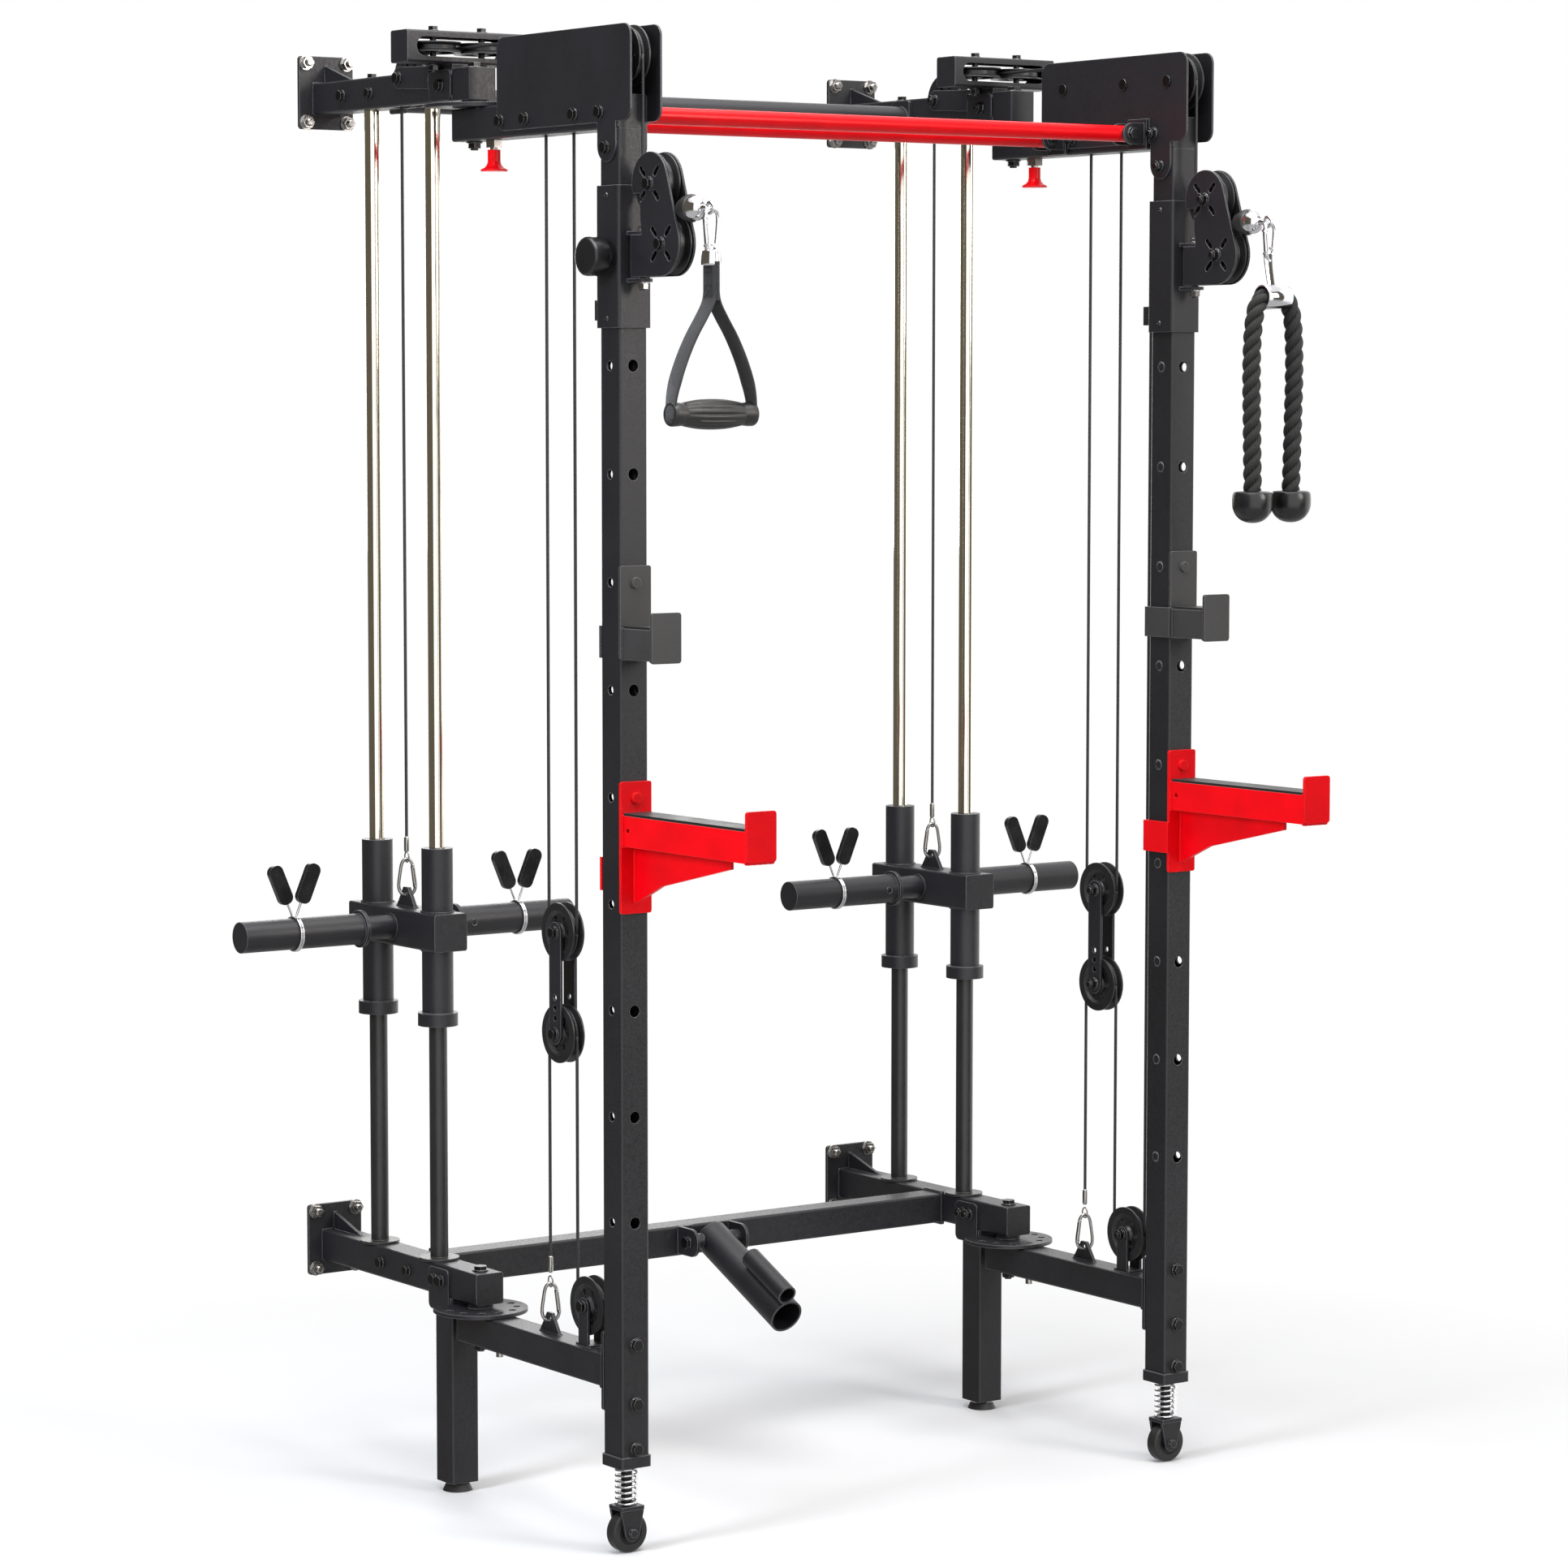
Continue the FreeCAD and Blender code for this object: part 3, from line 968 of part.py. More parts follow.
# ---------------------------------------------------------------- moving pulley block
def block_frame():
    """Floating block: two slotted straps with two axles."""
    straps = []
    for i, sx in enumerate((-1, 1)):
        x = f"-side_x + {sx}*(pulley_half + 3)"
        parts = [box(f"strap_bar_{i}", (x, "block_y", "(block_top_z + block_low_z)/2"),
                     ("4", "32", "block_top_z - block_low_z")),
                 rod(f"strap_high_{i}", (x, "block_y", "block_top_z"), "16", "4", "x"),
                 rod(f"strap_low_{i}", (x, "block_y", "block_low_z"), "16", "4", "x")]
        holes = drills(f"strap_hole_{i}", [(x, "block_y", f"block_low_z + {dz}") for dz in (24, 40, 56)],
                       "4.5", "12", "x")
        holes += drills(f"strap_axle_{i}", [(x, "block_y", z) for z in ("block_top_z", "block_low_z")],
                        "axle_r + 0.1", "12", "x")
        straps.append(cut(f"block_strap_{i}", fuse(f"strap_blank_{i}", parts), holes))
    pieces = list(straps)
    for name, z in (("high", "block_top_z"), ("low", "block_low_z")):
        pieces += bolt(f"block_axle_{name}", ("-side_x - pulley_half - 5", "block_y", z), "x+",
                       "2*pulley_half + 10", "axle_r", "15")
    return group("left_block_frame", pieces)


# ---------------------------------------------------------------- carriage
def spring_clip(name, dx):
    """A round-wire clip on a weight peg with two gripped levers."""
    x = f"-side_x + ({dx})"
    middle = "(rod_front_y + rod_rear_y)/2"
    pieces = []
    for i in range(2):
        centre = (f"{x} + {4*(i - 0.5)}", middle, "carriage_z")
        pieces.append(ring(f"{name}_coil_{i}", centre, "peg_r + 2.1", "1.8", "x"))
    foot = "carriage_z + peg_r + 4.4"
    for i, sx in enumerate((-1, 1)):
        lean = math.radians(sx * 23)
        tilt = Rotation(Vector(0, 1, 0), sx * 23)
        wire = DOC.addObject("Part::Cylinder", f"{name}_wire_{i}")
        wire.Radius = 1.8
        wire.Height = 30
        place(wire, f"{x} + ({4*sx})", middle, foot, tilt)
        centre = (f"{x} + ({4*sx + 54*math.sin(lean)})", middle, f"{foot} + ({54*math.cos(lean)})")
        grip = round_plate(f"{name}_grip_{i}", centre, "12.5", "33", "11", "9", "y")
        grip.Placement = Placement(grip.Placement.Base, tilt.multiply(TURNS["y"]))
        pieces.append(fuse(f"{name}_lever_{i}", [wire, grip]))
    return pieces


def carriage():
    """Weight carriage: cross block, two guide sleeves with collars, and two weight pegs."""
    middle = "(rod_front_y + rod_rear_y)/2"
    block = square_tube("carriage_tube", ("-side_x", middle, "carriage_z"), "2*carriage_half", "y",
                        "block_tube", "4")
    caps = [box(f"carriage_cap_{i}", ("-side_x", f"{middle} + {sy}*(carriage_half - 1.5)", "carriage_z"),
                ("56", "3", "56")) for i, sy in enumerate((-1, 1))]
    parts = [block] + caps
    for i, y in enumerate(("rod_front_y", "rod_rear_y")):
        parts.append(rod(f"guide_sleeve_{i}", ("-side_x", y, "(sleeve_top + sleeve_low)/2"), "sleeve_r",
                         "sleeve_top - sleeve_low", "z"))
    for i, sx in enumerate((-1, 1)):
        parts.append(rod(f"peg_neck_{i}", (f"-side_x + {sx}*(peg_flange_x + 20)/2", middle, "carriage_z"),
                         "neck_r", "peg_flange_x - 20", "x"))
        parts.append(rod(f"peg_flange_{i}", (f"-side_x + {sx}*(peg_flange_x + 3)", middle, "carriage_z"),
                         "30", "6", "x"))
        parts.append(rod(f"peg_{i}", (f"-side_x + {sx}*(peg_flange_x + peg_end)/2", middle, "carriage_z"),
                         "peg_r", "peg_end - peg_flange_x", "x"))
    top = "carriage_z + block_tube/2"
    tab = [("-28", "0"), ("28", "0"), ("7", "32"), ("-7", "32")]
    parts.append(cut_plate("carriage_tab", ("-side_x", middle, top), tab, "6", "x", [("0", "23", "4.5")]))
    steel = fuse("carriage_steel", parts)
    bores = [rod(f"sleeve_bore_{i}", ("-side_x", y, "(sleeve_top + sleeve_low)/2"), "sleeve_bore", "320", "z")
             for i, y in enumerate(("rod_front_y", "rod_rear_y"))]
    frame = cut("carriage_frame", steel, bores)
    collars = [tube_of(f"collar_{i}", ("-side_x", y, "(sleeve_low + stand_top)/2 + 0.1"), "collar_r",
                       "rod_r + 0.1", "sleeve_low - stand_top - 0.2", "z")
               for i, y in enumerate(("rod_front_y", "rod_rear_y"))]
    clips = spring_clip("clip_outer", "-clip_dx") + spring_clip("clip_inner", "clip_dx")
    return group("left_carriage", [frame] + collars + clips)


# ---------------------------------------------------------------- rack arms
def wrap_bracket(name, z_low, z_high, pin_z, wrap_low, wrap_high):
    """Front plate with a pin, an inner side flange and a rear lip round the upright."""
    front_y = "-tube/2 - gap - rack_t/2"
    plate = round_plate(name + "_plate", ("-side_x", front_y, f"({z_low} + {z_high})/2"), "rack_half + 0.3",
                        f"({z_high} - ({z_low}))/2", "4", "rack_t", "y")
    middle = f"({wrap_low} + {wrap_high})/2"
    tall = f"{wrap_high} - ({wrap_low})"
    reach = "tube + 2*gap + 2*rack_t"
    inner = "-side_x + tube/2 + gap + rack_t/2"
    flange = box(name + "_flange", (inner, "0", middle), ("rack_t", reach, tall))
    lip = box(name + "_lip", ("-side_x + rack_t/2", "tube/2 + gap + rack_t/2", middle),
              ("2*rack_half + 2*gap + 1", "rack_t", tall))
    pin = rod(name + "_pin", ("-side_x", "-tube/2 - gap - 4.5", pin_z), "8", "9", "y")
    return [plate, flange, lip, pin]


def j_hook():
    """Bar holder: the wrap bracket, a short square arm, its liner and an end plate."""
    parts = wrap_bracket("hook", "hook_z - 113", "hook_z + 25.5", "hook_z", "hook_z - 113", "hook_z - 65")
    parts.append(box("hook_arm", ("-side_x", "-68.4", "hook_z - 90"), ("48", "76.2", "46")))
    parts.append(round_plate("hook_end", ("-side_x", "-109.2", "hook_z - 79"), "26", "37.5", "5", "5.4", "y"))
    steel = fuse("hook_steel", parts)
    liner = box("hook_liner", ("-side_x", "-68.4", "hook_z - 65"), ("46", "74", "4"))
    return group("left_j_hook", [steel, liner])


def spotter():
    """Safety spotter: the wrap bracket, a long square arm with a gusset below and a liner above."""
    parts = wrap_bracket("spot", "spot_z - 172.5", "spot_z + 25", "spot_z", "spot_z - 141", "spot_z - 91")
    parts.append(box("spot_arm", ("-side_x", "-189.4", "spot_z - 48"), ("48", "318.2", "46")))
    parts.append(round_plate("spot_end", ("-side_x", "-350.8", "spot_z - 33"), "26", "37", "5", "5", "y"))
    parts.append(cut_plate("spot_gusset", ("-side_x", "0", "spot_z"), [
        ("-30", "-71"), ("-279", "-71"), ("-279", "-86"), ("-101", "-126"), ("-30", "-158")], "6", "x"))
    steel = fuse("spot_steel", parts)
    hole = rod("spot_hole", ("-side_x", "-43", "spot_z - 47"), "4", "60", "x")
    liner = box("spot_liner", ("-side_x", "-189", "spot_z - 23"), ("46", "316", "4"))
    return group("left_spotter_arm", [cut("spot_drilled", steel, [hole]), liner])


# ---------------------------------------------------------------- bars and landmine
def pull_up_bar(name, y):
    """A straight grip bar hinged in the left fork; a short stub stays in the right fork."""
    bar = rod(name + "_rod", ("(bar_end_x - bar_pin_x - 12)/2", y, "top_arm_z"), "bar_r",
              "bar_end_x + bar_pin_x + 12", "x")
    bore = rod(name + "_bore", ("-bar_pin_x", y, "top_arm_z"), "5.1", "40", "y")
    return cut(name, bar, [bore])


def bar_stubs():
    """The bar ends that stay bolted in the right forks."""
    stubs = []
    for i, y in enumerate(("bar_front_y", "bar_rear_y")):
        stub = rod(f"stub_rod_{i}", ("bar_pin_x - 3.25", y, "top_arm_z"), "bar_r", "30.5", "x")
        bore = rod(f"stub_bore_{i}", ("bar_pin_x", y, "top_arm_z"), "5.1", "40", "y")
        stubs.append(cut(f"bar_stub_{i}", stub, [bore]))
    return stubs


def landmine():
    """A narrow tube on top of a wide one, flush at the open end, hung on a cross bolt between the ears."""
    tilt = Rotation(Vector(1, 0, 0), 90 + number("mine_tilt"))
    big = DOC.addObject("Part::Cylinder", "mine_big")
    bind(big, "Radius", "mine_r")
    bind(big, "Height", "237")
    big_bore = DOC.addObject("Part::Cylinder", "mine_big_bore")
    bind(big_bore, "Radius", "mine_bore")
    bind(big_bore, "Height", "212")
    small = DOC.addObject("Part::Cylinder", "mine_small")
    bind(small, "Radius", "mine_small_r")
    bind(small, "Height", "113")
    small_bore = DOC.addObject("Part::Cylinder", "mine_small_bore_tool")
    bind(small_bore, "Radius", "mine_small_bore")
    bind(small_bore, "Height", "115")
    lean = math.radians(number("mine_tilt"))

    turn = math.radians(number("mine_small_turn"))

    def along(distance, apart="0"):
        rise = math.sin(turn)
        return (f"({apart})*({math.cos(turn)})",
                f"mine_y - ({distance * math.cos(lean)}) - ({apart})*({rise * math.sin(lean)})",
                f"mine_z - ({distance * math.sin(lean)}) + ({apart})*({rise * math.cos(lean)})")

    centres = "mine_r + mine_small_r - 1"
    place(big, *along(-9), tilt)
    place(big_bore, *along(22), tilt)
    place(small, *along(115, centres), tilt)
    place(small_bore, *along(119, centres), tilt)
    bosses = tube_of("mine_boss", ("0", "mine_y", "mine_z"), "13", "6.1", "2*(ear_x - 5) - 1", "x")
    blank = fuse("mine_blank", [big, small, bosses])
    bore = rod("mine_pivot_bore", ("0", "mine_y", "mine_z"), "6.1", "100", "x")
    tubes = cut("landmine_tubes", blank, [big_bore, small_bore, bore])
    return tubes


def landmine_bolt():
    return bolt("mine_bolt", ("-ear_x", "mine_y", "mine_z"), "x+", "2*ear_x", "6", "18")


# ---------------------------------------------------------------- caster
def caster_fork():
    """Fork and stem of the fixed caster that carries the folding frame."""
    crown = box("fork_crown", ("-side_x", "0", "fork_top - 3"), ("40", "36", "6"))
    cheeks = []
    for i, sy in enumerate((-1, 1)):
        y = f"{sy}*(caster_half + 3.5)"
        cheeks.append(cut_plate(f"fork_cheek_{i}", ("-side_x", y, "0"), [
            ("-20", "fork_top"), ("-20", "fork_top - 9"), ("-13", "caster_r"),
            ("13", "caster_r"), ("20", "fork_top - 9"), ("20", "fork_top")], "4", "y"))
        cheeks.append(rod(f"fork_round_low_{i}", ("-side_x", y, "caster_r"), "13", "4", "y"))
    stem_bar = rod("fork_stem", ("-side_x", "0", "(fork_top + 180)/2"), "stem_r", "180 - fork_top", "z")
    slot = box("stem_slot", ("-side_x", "0", "153.5"), ("10.6", "20", "25.8"))
    stem = cut("fork_stem_slotted", stem_bar, [slot])
    axle = rod("fork_axle", ("-side_x", "0", "caster_r"), "4", "2*caster_half + 17", "y")
    nut = hexagon("fork_axle_head", ("-side_x", "-caster_half - 8", "caster_r"), "12", "5", "y")
    return fuse("left_caster_fork", [crown, stem, axle, nut] + cheeks)


def caster_wheel():
    """Rubber-tyred wheel about the Y axis."""
    wheel = rod("wheel_disc", ("-side_x", "0", "caster_r"), "caster_r", "2*caster_half", "y")
    rounded = DOC.addObject("Part::Fillet", "wheel_rounded")
    rounded.Base = wheel
    DOC.recompute()
    rims = [i + 1 for i, edge in enumerate(wheel.Shape.Edges)
            if edge.Curve.TypeId == "Part::GeomCircle"]
    rounded.Edges = [(i, 4.0, 4.0) for i in rims]
    dish = tube_of("wheel_dish", ("-side_x", "-caster_half", "caster_r"), "20", "9", "4", "y")
    dish_rear = tube_of("wheel_dish_rear", ("-side_x", "caster_half", "caster_r"), "20", "9", "4", "y")
    bore = rod("wheel_bore", ("-side_x", "0", "caster_r"), "4.1", "60", "y")
    return cut("left_caster_wheel", rounded, [dish, dish_rear, bore])


def caster_springs():
    """The compression spring between each fork and its housing."""
    low, high = number("fork_top") + 2.2, number("cap_low") - 2.2
    coils = 7
    helix = Part.makeHelix((high - low) / coils, high - low, number("spring_r"))
    start = Vector(number("spring_r"), 0, 0)
    circle = Part.Wire([Part.Circle(start, Vector(0, 1, 0), number("wire_r")).toShape()])
    coil = Part.Wire(helix.Edges).makePipeShell([circle], True, True)
    spring = DOC.addObject("Part::Feature", "spring_coil")
    spring.Shape = coil
    spring.Placement = Placement(Vector(-number("side_x"), 0, low), Rotation())
    return both("caster_springs", spring)


# ---------------------------------------------------------------- cables
def cable_path(name, points):
    """A round cable through points in the side plane: a point is (y, z) or an arc (y, z, via)."""
    edges = []
    x = -number("side_x")
    here = None
    for point in points:
        spot = Vector(x, point[0], point[1])
        if len(point) == 3:
            middle = Vector(x, point[2][0], point[2][1])
            edges.append(Part.Arc(here, middle, spot).toShape())
        elif here is not None:
            edges.append(Part.LineSegment(here, spot).toShape())
        here = spot
    wire = Part.Wire(edges)
    first = edges[0]
    tangent = first.tangentAt(first.FirstParameter)
    circle = Part.Circle(Vector(x, points[0][0], points[0][1]), tangent, number("cable_r"))
    tube = wire.makePipeShell([Part.Wire([circle.toShape()])], True, False)
    cable = DOC.addObject("Part::Feature", name)
    cable.Shape = tube
    return cable


def arc(centre, radius, end_deg, via_deg):
    """An arc step about a pulley: where it ends, and a point on the way."""
    def on(angle):
        a = math.radians(angle)
        return centre[0] + radius * math.cos(a), centre[1] + radius * math.sin(a)
    return (*on(end_deg), on(via_deg))


def cables():
    """The two steel cables of each side, wrapped over their pulleys."""
    r = number("wrap_r")
    wheel_z = number("wheel_z")
    rear = (number("rear_wheel_y"), wheel_z)
    arm_rear = (number("arm_wheel_rear"), wheel_z)
    arm_mid = (number("arm_wheel_mid"), wheel_z)
    arm_front = (number("arm_wheel_front"), wheel_z)
    block_y = number("block_y")
    block_high = (block_y, number("block_top_z"))
    block_low = (block_y, number("block_low_z"))
    head = (number("head_high_y"), number("head_high_z"))
    base = (block_y - 2 * r, number("base_wheel_z"))
    upper = cable_path("upper_cable", [
        (rear[0] + r, 964), (rear[0] + r, wheel_z), arc(rear, r, 90, 45),
        (arm_rear[0], wheel_z + r), arc(arm_rear, r, 180, 135),
        (block_high[0] + r, block_high[1]), arc(block_high, r, -180, -90),
        (arm_mid[0] + r, wheel_z), arc(arm_mid, r, 90, 45),
        (arm_front[0], wheel_z + r), arc(arm_front, r, 180, 135),
        (head[0] + r, head[1]), arc(head, r, -90, -45),
        (number("ball_y") + 27, head[1] - r)])
    lower = cable_path("lower_cable", [
        (block_y + r, 340), (block_y + r, block_low[1]), arc(block_low, r, 180, 90),
        (base[0] + r, base[1]), arc(base, r, -180, -90),
        (base[0] - r, 1880)])
    return both("cables", group("left_cables", [upper, lower]))


# ---------------------------------------------------------------- assembly
def build():
    node("top_wall_arms", top_wall_arms())
    node("base_wall_arms", base_wall_arms())
    node("rear_legs", rear_legs())
    node("levelling_feet", levelling_feet())
    node("base_crossmember", base_crossmember())
    node("rear_crossbar", rear_crossbar())
    node("guide_rods", guide_rods())
    node("rod_stand_tubes", rod_stand_tubes())
    node("pulley_boxes", pulley_boxes())
    node("box_wheels", box_wheels())
    node("frame_fasteners", group("all_frame_fasteners", [frame_fasteners()] + landmine_bolt()))
    node("cables", cables())
    node("caster_springs", caster_springs())
    node("front_pull_up_bar", pull_up_bar("front_bar", "bar_front_y"))
    node("rear_pull_up_bar", pull_up_bar("rear_bar_grip", "bar_rear_y"))
    node("landmine_tubes", landmine())
    side_nodes("rear_pulley", pulley("rear_pulley", "rear_wheel_y", "wheel_z"))
    side_nodes("upright", upright())
    side_nodes("top_arm", top_arm())
    side_nodes("lower_arm", lower_arm())
    left_bolts = arm_fasteners()
    node("left_arm_fasteners", left_bolts)
    right_bolts = mirror("right_bolts", left_bolts)
    node("right_arm_fasteners", group("right_arm_hardware", [right_bolts] + bar_stubs()))
    side_nodes("lock_pins", lock_pins())
    side_nodes("front_pulley", pulley("front_pulley", "arm_wheel_front", "wheel_z"))
    side_nodes("base_pulley", pulley("base_pulley", "block_y - 2*wrap_r", "base_wheel_z"))
    side_nodes("trolley_sleeve", trolley())
    side_nodes("trolley_pin", trolley_pin())
    side_nodes("trolley_head", trolley_head())
    side_nodes("head_upper_pulley", pulley("head_upper", "head_high_y", "head_high_z"))
    side_nodes("head_lower_pulley", pulley("head_lower", "head_low_y", "head_low_z"))
    side_nodes("block_frame", block_frame())
    side_nodes("block_upper_pulley", pulley("block_upper", "block_y", "block_top_z"))
    side_nodes("block_lower_pulley", pulley("block_lower", "block_y", "block_low_z"))
    side_nodes("carriage", carriage())
    side_nodes("j_hook", j_hook())
    side_nodes("spotter_arm", spotter())
    side_nodes("caster_fork", caster_fork())
    side_nodes("caster_wheel", caster_wheel())
    node("left_handle", left_handle())
    node("right_rope", right_rope())


def check_and_export():
    """Stop on any failed object or bad shape, then write one STEP file per sub-part."""
    DOC.recompute()
    failed = [item.Name for item in DOC.Objects if {"Invalid", "Error"} & set(item.State)]
    if failed:
        raise RuntimeError("failed objects: " + ", ".join(failed))
    for name, thing in NODES.items():
        shape = thing.Shape
        if shape.isNull() or not shape.isValid() or not shape.Solids:
            raise RuntimeError(f"{name} has no valid solid")
    os.makedirs("parts", exist_ok=True)
    for name, thing in NODES.items():
        thing.Shape.exportStep(os.path.join("parts", name + ".step"))
        print(f"{name:24s} solids {len(thing.Shape.Solids):3d}  faces {len(thing.Shape.Faces):4d}")
    print(len(NODES), "sub-parts written")


build()
check_and_export()
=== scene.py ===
import math

import bmesh
import bpy
from mathutils import Matrix, Vector


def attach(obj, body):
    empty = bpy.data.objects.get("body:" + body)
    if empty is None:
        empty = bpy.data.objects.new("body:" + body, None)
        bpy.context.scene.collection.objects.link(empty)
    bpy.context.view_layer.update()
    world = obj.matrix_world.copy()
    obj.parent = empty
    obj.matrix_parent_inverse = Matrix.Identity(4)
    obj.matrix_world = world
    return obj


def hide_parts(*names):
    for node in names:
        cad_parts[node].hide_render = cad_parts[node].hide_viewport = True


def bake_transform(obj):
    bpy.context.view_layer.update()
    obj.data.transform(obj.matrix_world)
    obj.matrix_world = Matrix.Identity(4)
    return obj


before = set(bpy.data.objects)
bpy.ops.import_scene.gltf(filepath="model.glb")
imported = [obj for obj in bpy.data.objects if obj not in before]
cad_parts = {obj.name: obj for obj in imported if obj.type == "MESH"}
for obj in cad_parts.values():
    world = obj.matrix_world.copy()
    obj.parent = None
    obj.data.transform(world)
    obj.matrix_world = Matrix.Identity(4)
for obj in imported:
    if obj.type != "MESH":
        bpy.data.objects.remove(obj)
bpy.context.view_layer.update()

# Lengths and places below are the CAD source's: millimetres, with Y = 0 on the uprights' centre line. The
# packed row is in metres and SHIFT_Y further forward.
SHIFT_Y = 262.35
SIDES = (("left", -1), ("right", 1))
SIDE_X = 530.0
TUBE_HALF, SLEEVE_HALF = 25.0, 30.0
EX, EY, EZ = Vector((1, 0, 0)), Vector((0, 1, 0)), Vector((0, 0, 1))

# The cable, and the axles of the wheels it runs over. The wrap radius is that of the cable's centre line.
CABLE_R = 2.5
WRAP_R = 38.6
HUB_R = 12.2
TOP_Z = 2239.5
REAR_Y, BACK_Y, MID_Y, FRONT_Y = 595.0, 249.2, 94.8, -13.4
BASE_Y, BASE_Z = 94.8, 362.0
BLOCK_Y, BLOCK_HIGH, BLOCK_LOW = 172.0, 926.5, 770.5
HEAD_Y, HEAD_Z = -90.6, 2050.0
HEAD_LOW_Y, HEAD_LOW_Z = -120.0, 1962.0

# Other axes: the carriage's rods, pegs and clips, the hooks' arms, the fold pin, the bars, the head's swivel,
# the trolley's knob, the caster and the index holes.
ROD_Y = 633.0
PEG_Z = 893.5
CLIP_X = 208.0
HOOK_Z, SPOTTER_Z = 1375.7, 1097.7
FOLD_PIN_Y = 359.0
BAR_YS, BAR_Z = (54.0, 259.5), 2158.0
SWIVEL_Y = -52.0
KNOB_Z = 1945.7
CASTER_Z = 31.0
HOLE_LOW, HOLE_PITCH, HOLE_COUNT = 505.7, 160.0, 10


def at(x, y, z):
    """A point given in the CAD source's millimetres."""
    return Vector((x, y - SHIFT_Y, z)) / 1000


# ------------------------------------------------------------------ materials
class Nodes:
    """A small writer of node trees."""

    def __init__(self, name):
        self.material = bpy.data.materials.new(name)
        self.material.use_nodes = True
        self.tree = self.material.node_tree
        self.tree.nodes.clear()
        self.out = self.add("ShaderNodeOutputMaterial")
        self.skin = self.add("ShaderNodeBsdfPrincipled")
        self.link(self.skin.outputs["BSDF"], self.out.inputs["Surface"])

    def add(self, kind, **values):
        node = self.tree.nodes.new(kind)
        for key, value in values.items():
            if key in node.inputs:
                node.inputs[key].default_value = value
            else:
                setattr(node, key, value)
        return node

    def link(self, a, b):
        self.tree.links.new(a, b)

    def feed(self, socket, value):
        """Set a socket to a number or a colour, or link it to an output."""
        if isinstance(value, (int, float)):
            socket.default_value = value
        elif isinstance(value, (tuple, list)):
            socket.default_value = (*value[:3], 1.0)
        else:
            self.link(value, socket)

    def place(self, scale=(1, 1, 1)):
        """Position in metres, the same at every pose."""
        coords = self.add("ShaderNodeTexCoord")
        mapping = self.add("ShaderNodeMapping")
        mapping.inputs["Scale"].default_value = scale
        self.link(coords.outputs["Object"], mapping.inputs["Vector"])
        return mapping.outputs["Vector"]

    def uv(self):
        return self.add("ShaderNodeTexCoord").outputs["UV"]

    def noise(self, vector, scale, detail=3.0, rough=0.55):
        node = self.add("ShaderNodeTexNoise", Scale=scale, Detail=detail, Roughness=rough)
        self.link(vector, node.inputs["Vector"])
        return node.outputs["Fac"]

    def math(self, operation, a, b=None, clamp=False):
        node = self.add("ShaderNodeMath", operation=operation, use_clamp=clamp)
        self.feed(node.inputs[0], a)
        if b is not None:
            self.feed(node.inputs[1], b)
        return node.outputs[0]

    def span(self, value, low, high, to_low=0.0, to_high=1.0):
        node = self.add("ShaderNodeMapRange")
        node.inputs["From Min"].default_value = low
        node.inputs["From Max"].default_value = high
        node.inputs["To Min"].default_value = to_low
        node.inputs["To Max"].default_value = to_high
        self.link(value, node.inputs["Value"])
        return node.outputs["Result"]

    def mix(self, share, a, b):
        """Mix two colours; inputs 6 and 7 are the node's colour sockets."""
        node = self.add("ShaderNodeMix", data_type="RGBA")
        for index, value in ((0, share), (6, a), (7, b)):
            self.feed(node.inputs[index], value)
        return node.outputs[2]

    def bump(self, height, distance, strength=1.0, normal=None):
        node = self.add("ShaderNodeBump", Distance=distance, Strength=strength)
        self.link(height, node.inputs["Height"])
        if normal is not None:
            self.link(normal, node.inputs["Normal"])
        return node.outputs["Normal"]

    def soft_edges(self, radius=0.0015):
        """Rounded edges in the shading, and a mask that is 1 on the edges, where the materials paint a
        highlight.
        """
        bevel = self.add("ShaderNodeBevel", samples=4)
        bevel.inputs["Radius"].default_value = radius
        plain = self.add("ShaderNodeNewGeometry")
        dot = self.add("ShaderNodeVectorMath", operation="DOT_PRODUCT")
        self.link(bevel.outputs["Normal"], dot.inputs[0])
        self.link(plain.outputs["Normal"], dot.inputs[1])
        edge_highlight_mask = self.span(dot.outputs["Value"], 0.985, 0.86)
        return bevel.outputs["Normal"], edge_highlight_mask

    def finish(self, colour, roughness, normal=None, **inputs):
        self.feed(self.skin.inputs["Base Color"], colour)
        self.feed(self.skin.inputs["Roughness"], roughness)
        if normal is not None:
            self.link(normal, self.skin.inputs["Normal"])
        for key, value in inputs.items():
            self.skin.inputs[key.replace("_", " ")].default_value = value
        return self.material


def powder_coat(name, colour, edge, roughness=0.45, grain=1.0):
    """Fine textured powder coat: a grainy skin, faint cloudiness, scuffs and a painted highlight along the
    edges.
    """
    n = Nodes(name)
    where = n.place()
    cloud = n.noise(where, 9.0, 4.0, 0.6)
    fine = n.noise(where, 950.0, 2.0, 0.6)
    coarse = n.noise(where, 260.0, 2.0, 0.5)
    normal, edge_highlight_mask = n.soft_edges()
    base = n.mix(n.span(cloud, 0.3, 0.7), [c * 0.82 for c in colour], [c * 1.18 for c in colour])
    speck = n.mix(n.span(fine, 0.56, 0.74, 0.0, 0.45), base, [c * 2.2 for c in colour])
    scuffs = n.span(n.noise(n.place((1, 1, 0.15)), 60.0, 5.0, 0.7), 0.66, 0.8, 0.0, 0.3)
    # Painted highlight: the edges are mixed towards the lighter edge colour, over the scuffed and speckled
    # coat.
    scuffs_and_edge_highlight = n.mix(n.math("MULTIPLY", edge_highlight_mask, 0.62), n.mix(scuffs, speck, [c * 1.5 for c in colour]), edge)
    rough = n.span(coarse, 0.3, 0.7, roughness - 0.06, roughness + 0.08)
    height = n.math("ADD", n.math("MULTIPLY", fine, 0.55), n.math("MULTIPLY", coarse, 0.45))
    skin = n.bump(height, 0.00035 * grain, 0.55, normal)
    return n.finish(scuffs_and_edge_highlight, rough, skin, Specular_IOR_Level=0.5)


